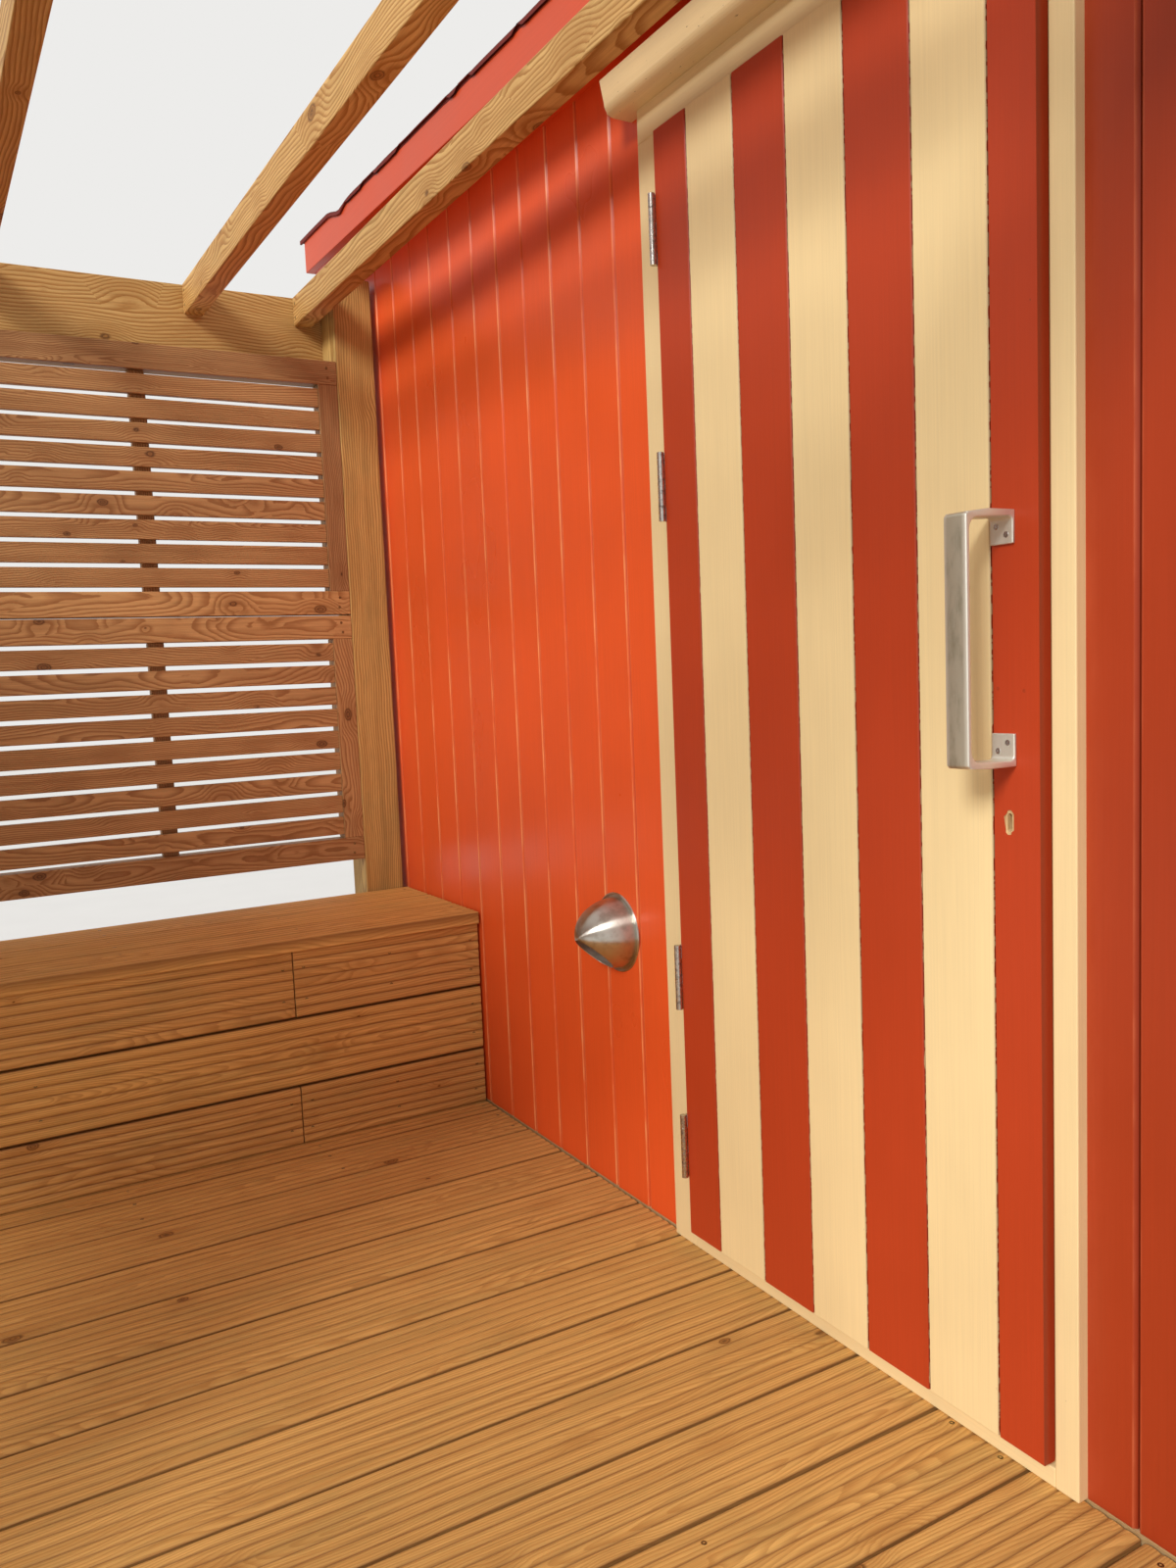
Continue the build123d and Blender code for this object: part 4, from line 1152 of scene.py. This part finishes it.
# Screws: pairs over each joist in the terrace, at the bench ends and joints, in the joists' ends and the screens
screwSizes = dict(deck=4 * mm, frame=3.6 * mm, handle=3.8 * mm, nail=2.4 * mm, sunk=0.6 * mm, proud=0.1 * mm,
                  spread=2 * mm, frontSpread=3 * mm, screenSpread=4 * mm, deckPair=(0.22, 0.78),
                  pair=(0.25, 0.75),
                  fromEnd=18 * mm, fromButt=22 * mm, fromTopEnd=24 * mm, topScrews=6, fromJoistSide=16 * mm,
                  fromJoistEdge=18 * mm, fromStile=25 * mm, screenRows=(18 * mm, 42 * mm), footUp=22.5 * mm,
                  footAside=7 * mm, footStagger=5 * mm, handleSunk=0.3 * mm, nails=((15, 156), (-22, 153)))
chance = random.Random(141)


def jitter(place):
    spread = screwSizes["spread"]
    return place + corner(chance.uniform(-spread, spread), chance.uniform(-spread, spread), 0)


spots, sunk = [], screwSizes["sunk"]
joists = [((a.x + b.x) / 2) for a, b in islandBoxes("deck_joists")]
for a, b in deckIslands:
    for x in joists:
        for part in screwSizes["deckPair"]:
            place = corner(min(x, b.x - screwSizes["fromEnd"]), a.y + (b.y - a.y) * part, b.z - sunk)
            spots.append((jitter(place), zAxis))
for a, b in split:
    for x in (a.x + screwSizes["fromButt"], b.x - screwSizes["fromButt"], (a.x + b.x) / 2):
        for part in screwSizes["pair"]:
            aside = chance.uniform(-1, 1) * screwSizes["frontSpread"]
            spots.append((corner(x + aside, a.y + sunk, a.z + (b.z - a.z) * part), -yAxis))
for a, b in islandBoxes("bench_top_boards"):
    first, last = a.x + screwSizes["fromTopEnd"], b.x - screwSizes["fromTopEnd"]
    for i in range(screwSizes["topScrews"]):
        x = first + i * (last - first) / (screwSizes["topScrews"] - 1)
        for part in screwSizes["pair"]:
            spots.append((jitter(corner(x, a.y + (b.y - a.y) * part, b.z - sunk)), zAxis))
screws("deck_screws", spots, screwSizes["deck"], "passivatedScrew", 142, "building", "deck_timber")

fromSide, fromEdge, proud = (screwSizes[key] for key in ("fromJoistSide", "fromJoistEdge", "proud"))
spots = [(corner(a.x - proud, y, z), -xAxis) for a, b in islandBoxes("pergola_joists")
         for y in (a.y + fromSide, b.y - fromSide) for z in (a.z + fromEdge, b.z - fromEdge)]
for node in ("end_screen_lower", "end_screen_upper"):
    a, b = corners(node)
    for x in (a.x + screwSizes["fromStile"], b.x - screwSizes["fromStile"]):
        rows = screwSizes["screenRows"]
        for z in [a.z + row for row in rows] + [b.z - row for row in rows]:
            aside = chance.uniform(-1, 1) * screwSizes["screenSpread"]
            spots.append((corner(x + aside, a.y - proud, z), -yAxis))
screws("frame_screws", spots, screwSizes["frame"], "passivatedScrew", 143, "building", "frame_timber")

footX, footUp = handleHigh.x - handle["plate"] - screwSizes["handleSunk"], screwSizes["footUp"]
aside, stagger = screwSizes["footAside"], screwSizes["footStagger"]
spots = [(corner(footX, middleY + side * aside, z + side * turn * stagger), -xAxis)
         for z, turn in ((handleLow.z + footUp, -1), (handleHigh.z - footUp, 1)) for side in (-1, 1)]
screws("handle_screws", spots, screwSizes["handle"], "zincPlatedSteel", 144, "door", "handle_metal")
# The nail heads take the shaded copy of the red paint, deeper as painted shade
spots = [(corner(corners("door_leaf")[0].x, leaf["keyY"] + y * mm, leaf["keyZ"] + z * mm), -xAxis)
         for y, z in screwSizes["nails"]]
screws("painted_nails", spots, screwSizes["nail"], "glossPaintDeepRed", 145, "door", "striped_paint")
print("screws made")

# Camera at the photograph's place, worked out from three sets of parallel edges
view = dict(place=(-1.166, hingeY - 1.632, 1.2967), yaw=30.08, pitch=-5.357, roll=-2.379, lens=27.39)
yaw, pitch, roll = (math.radians(view[key]) for key in ("yaw", "pitch", "roll"))
ahead = corner(math.sin(yaw) * math.cos(pitch), math.cos(yaw) * math.cos(pitch), math.sin(pitch))
level = corner(math.cos(yaw), -math.sin(yaw), 0)
above = level.cross(ahead)
right = math.cos(roll) * level + math.sin(roll) * above
up = -math.sin(roll) * level + math.cos(roll) * above
camera = bpy.data.objects.new("camera", bpy.data.cameras.new("camera"))
bpy.context.scene.collection.objects.link(camera)
camera.matrix_world = Matrix.Translation(view["place"]) @ Matrix((right, up, -ahead)).transposed().to_4x4()
camera.data.lens, camera.data.sensor_width = view["lens"], 36
camera.data.clip_start, camera.data.clip_end = 0.02, 200
bpy.context.scene.camera = camera

# Floor, pale surroundings and one broad lamp from the terrace side
studio = dict(floorSize=60, floorColour="#DCDAD6", floorMottle="#D6D4D0", skyColour="#EDECEA", ambient=0.76,
              lamp=2.42, lampAngle=18, lampToward=(0.79, 0.42, -0.54))
surface, node = newMaterial("paleFloorPaint")
mottle = node("TexNoise", {"Vector": node("TexCoord").outputs["Object"], "Scale": 3.0, "Detail": 3.0})
setInputs(surface, {"Roughness": 0.9, "Base Color": node(
    "Mix", {0: mottle, 6: studio["floorColour"], 7: studio["floorMottle"]}, data_type="RGBA")})
half = studio["floorSize"] / 2
ground = addPiece("studio_floor", meshOf("floor", [(-half, -half, 0), (half, -half, 0), (half, half, 0),
                                                   (-half, half, 0)], [(0, 1, 2, 3)]), "paleFloorPaint")

world = bpy.data.worlds.new("studio")
world.use_nodes = True
bpy.context.scene.world = world
world.node_tree.nodes.clear()
node = partial(addNode, world.node_tree)
rays = node("LightPath").outputs
seen = node("Math MAXIMUM", [rays["Is Camera Ray"], rays["Is Glossy Ray"]])
ambient = node("Background", {"Color": (1, 1, 1, 1), "Strength": studio["ambient"]})
shown = node("Background", {"Color": studio["skyColour"], "Strength": 1.0})
node("OutputWorld", {"Surface": node("MixShader", {0: seen, 1: ambient, 2: shown})})

lamp = bpy.data.objects.new("softLamp", bpy.data.lights.new("softLamp", "SUN"))
lamp.data.energy = studio["lamp"]
lamp.data.angle = math.radians(studio["lampAngle"])
lamp.rotation_euler = Vector(studio["lampToward"]).to_track_quat("-Z", "Y").to_euler()
bpy.context.scene.collection.objects.link(lamp)
bpy.context.scene.view_settings.view_transform = "Standard"
print("camera and lights set")
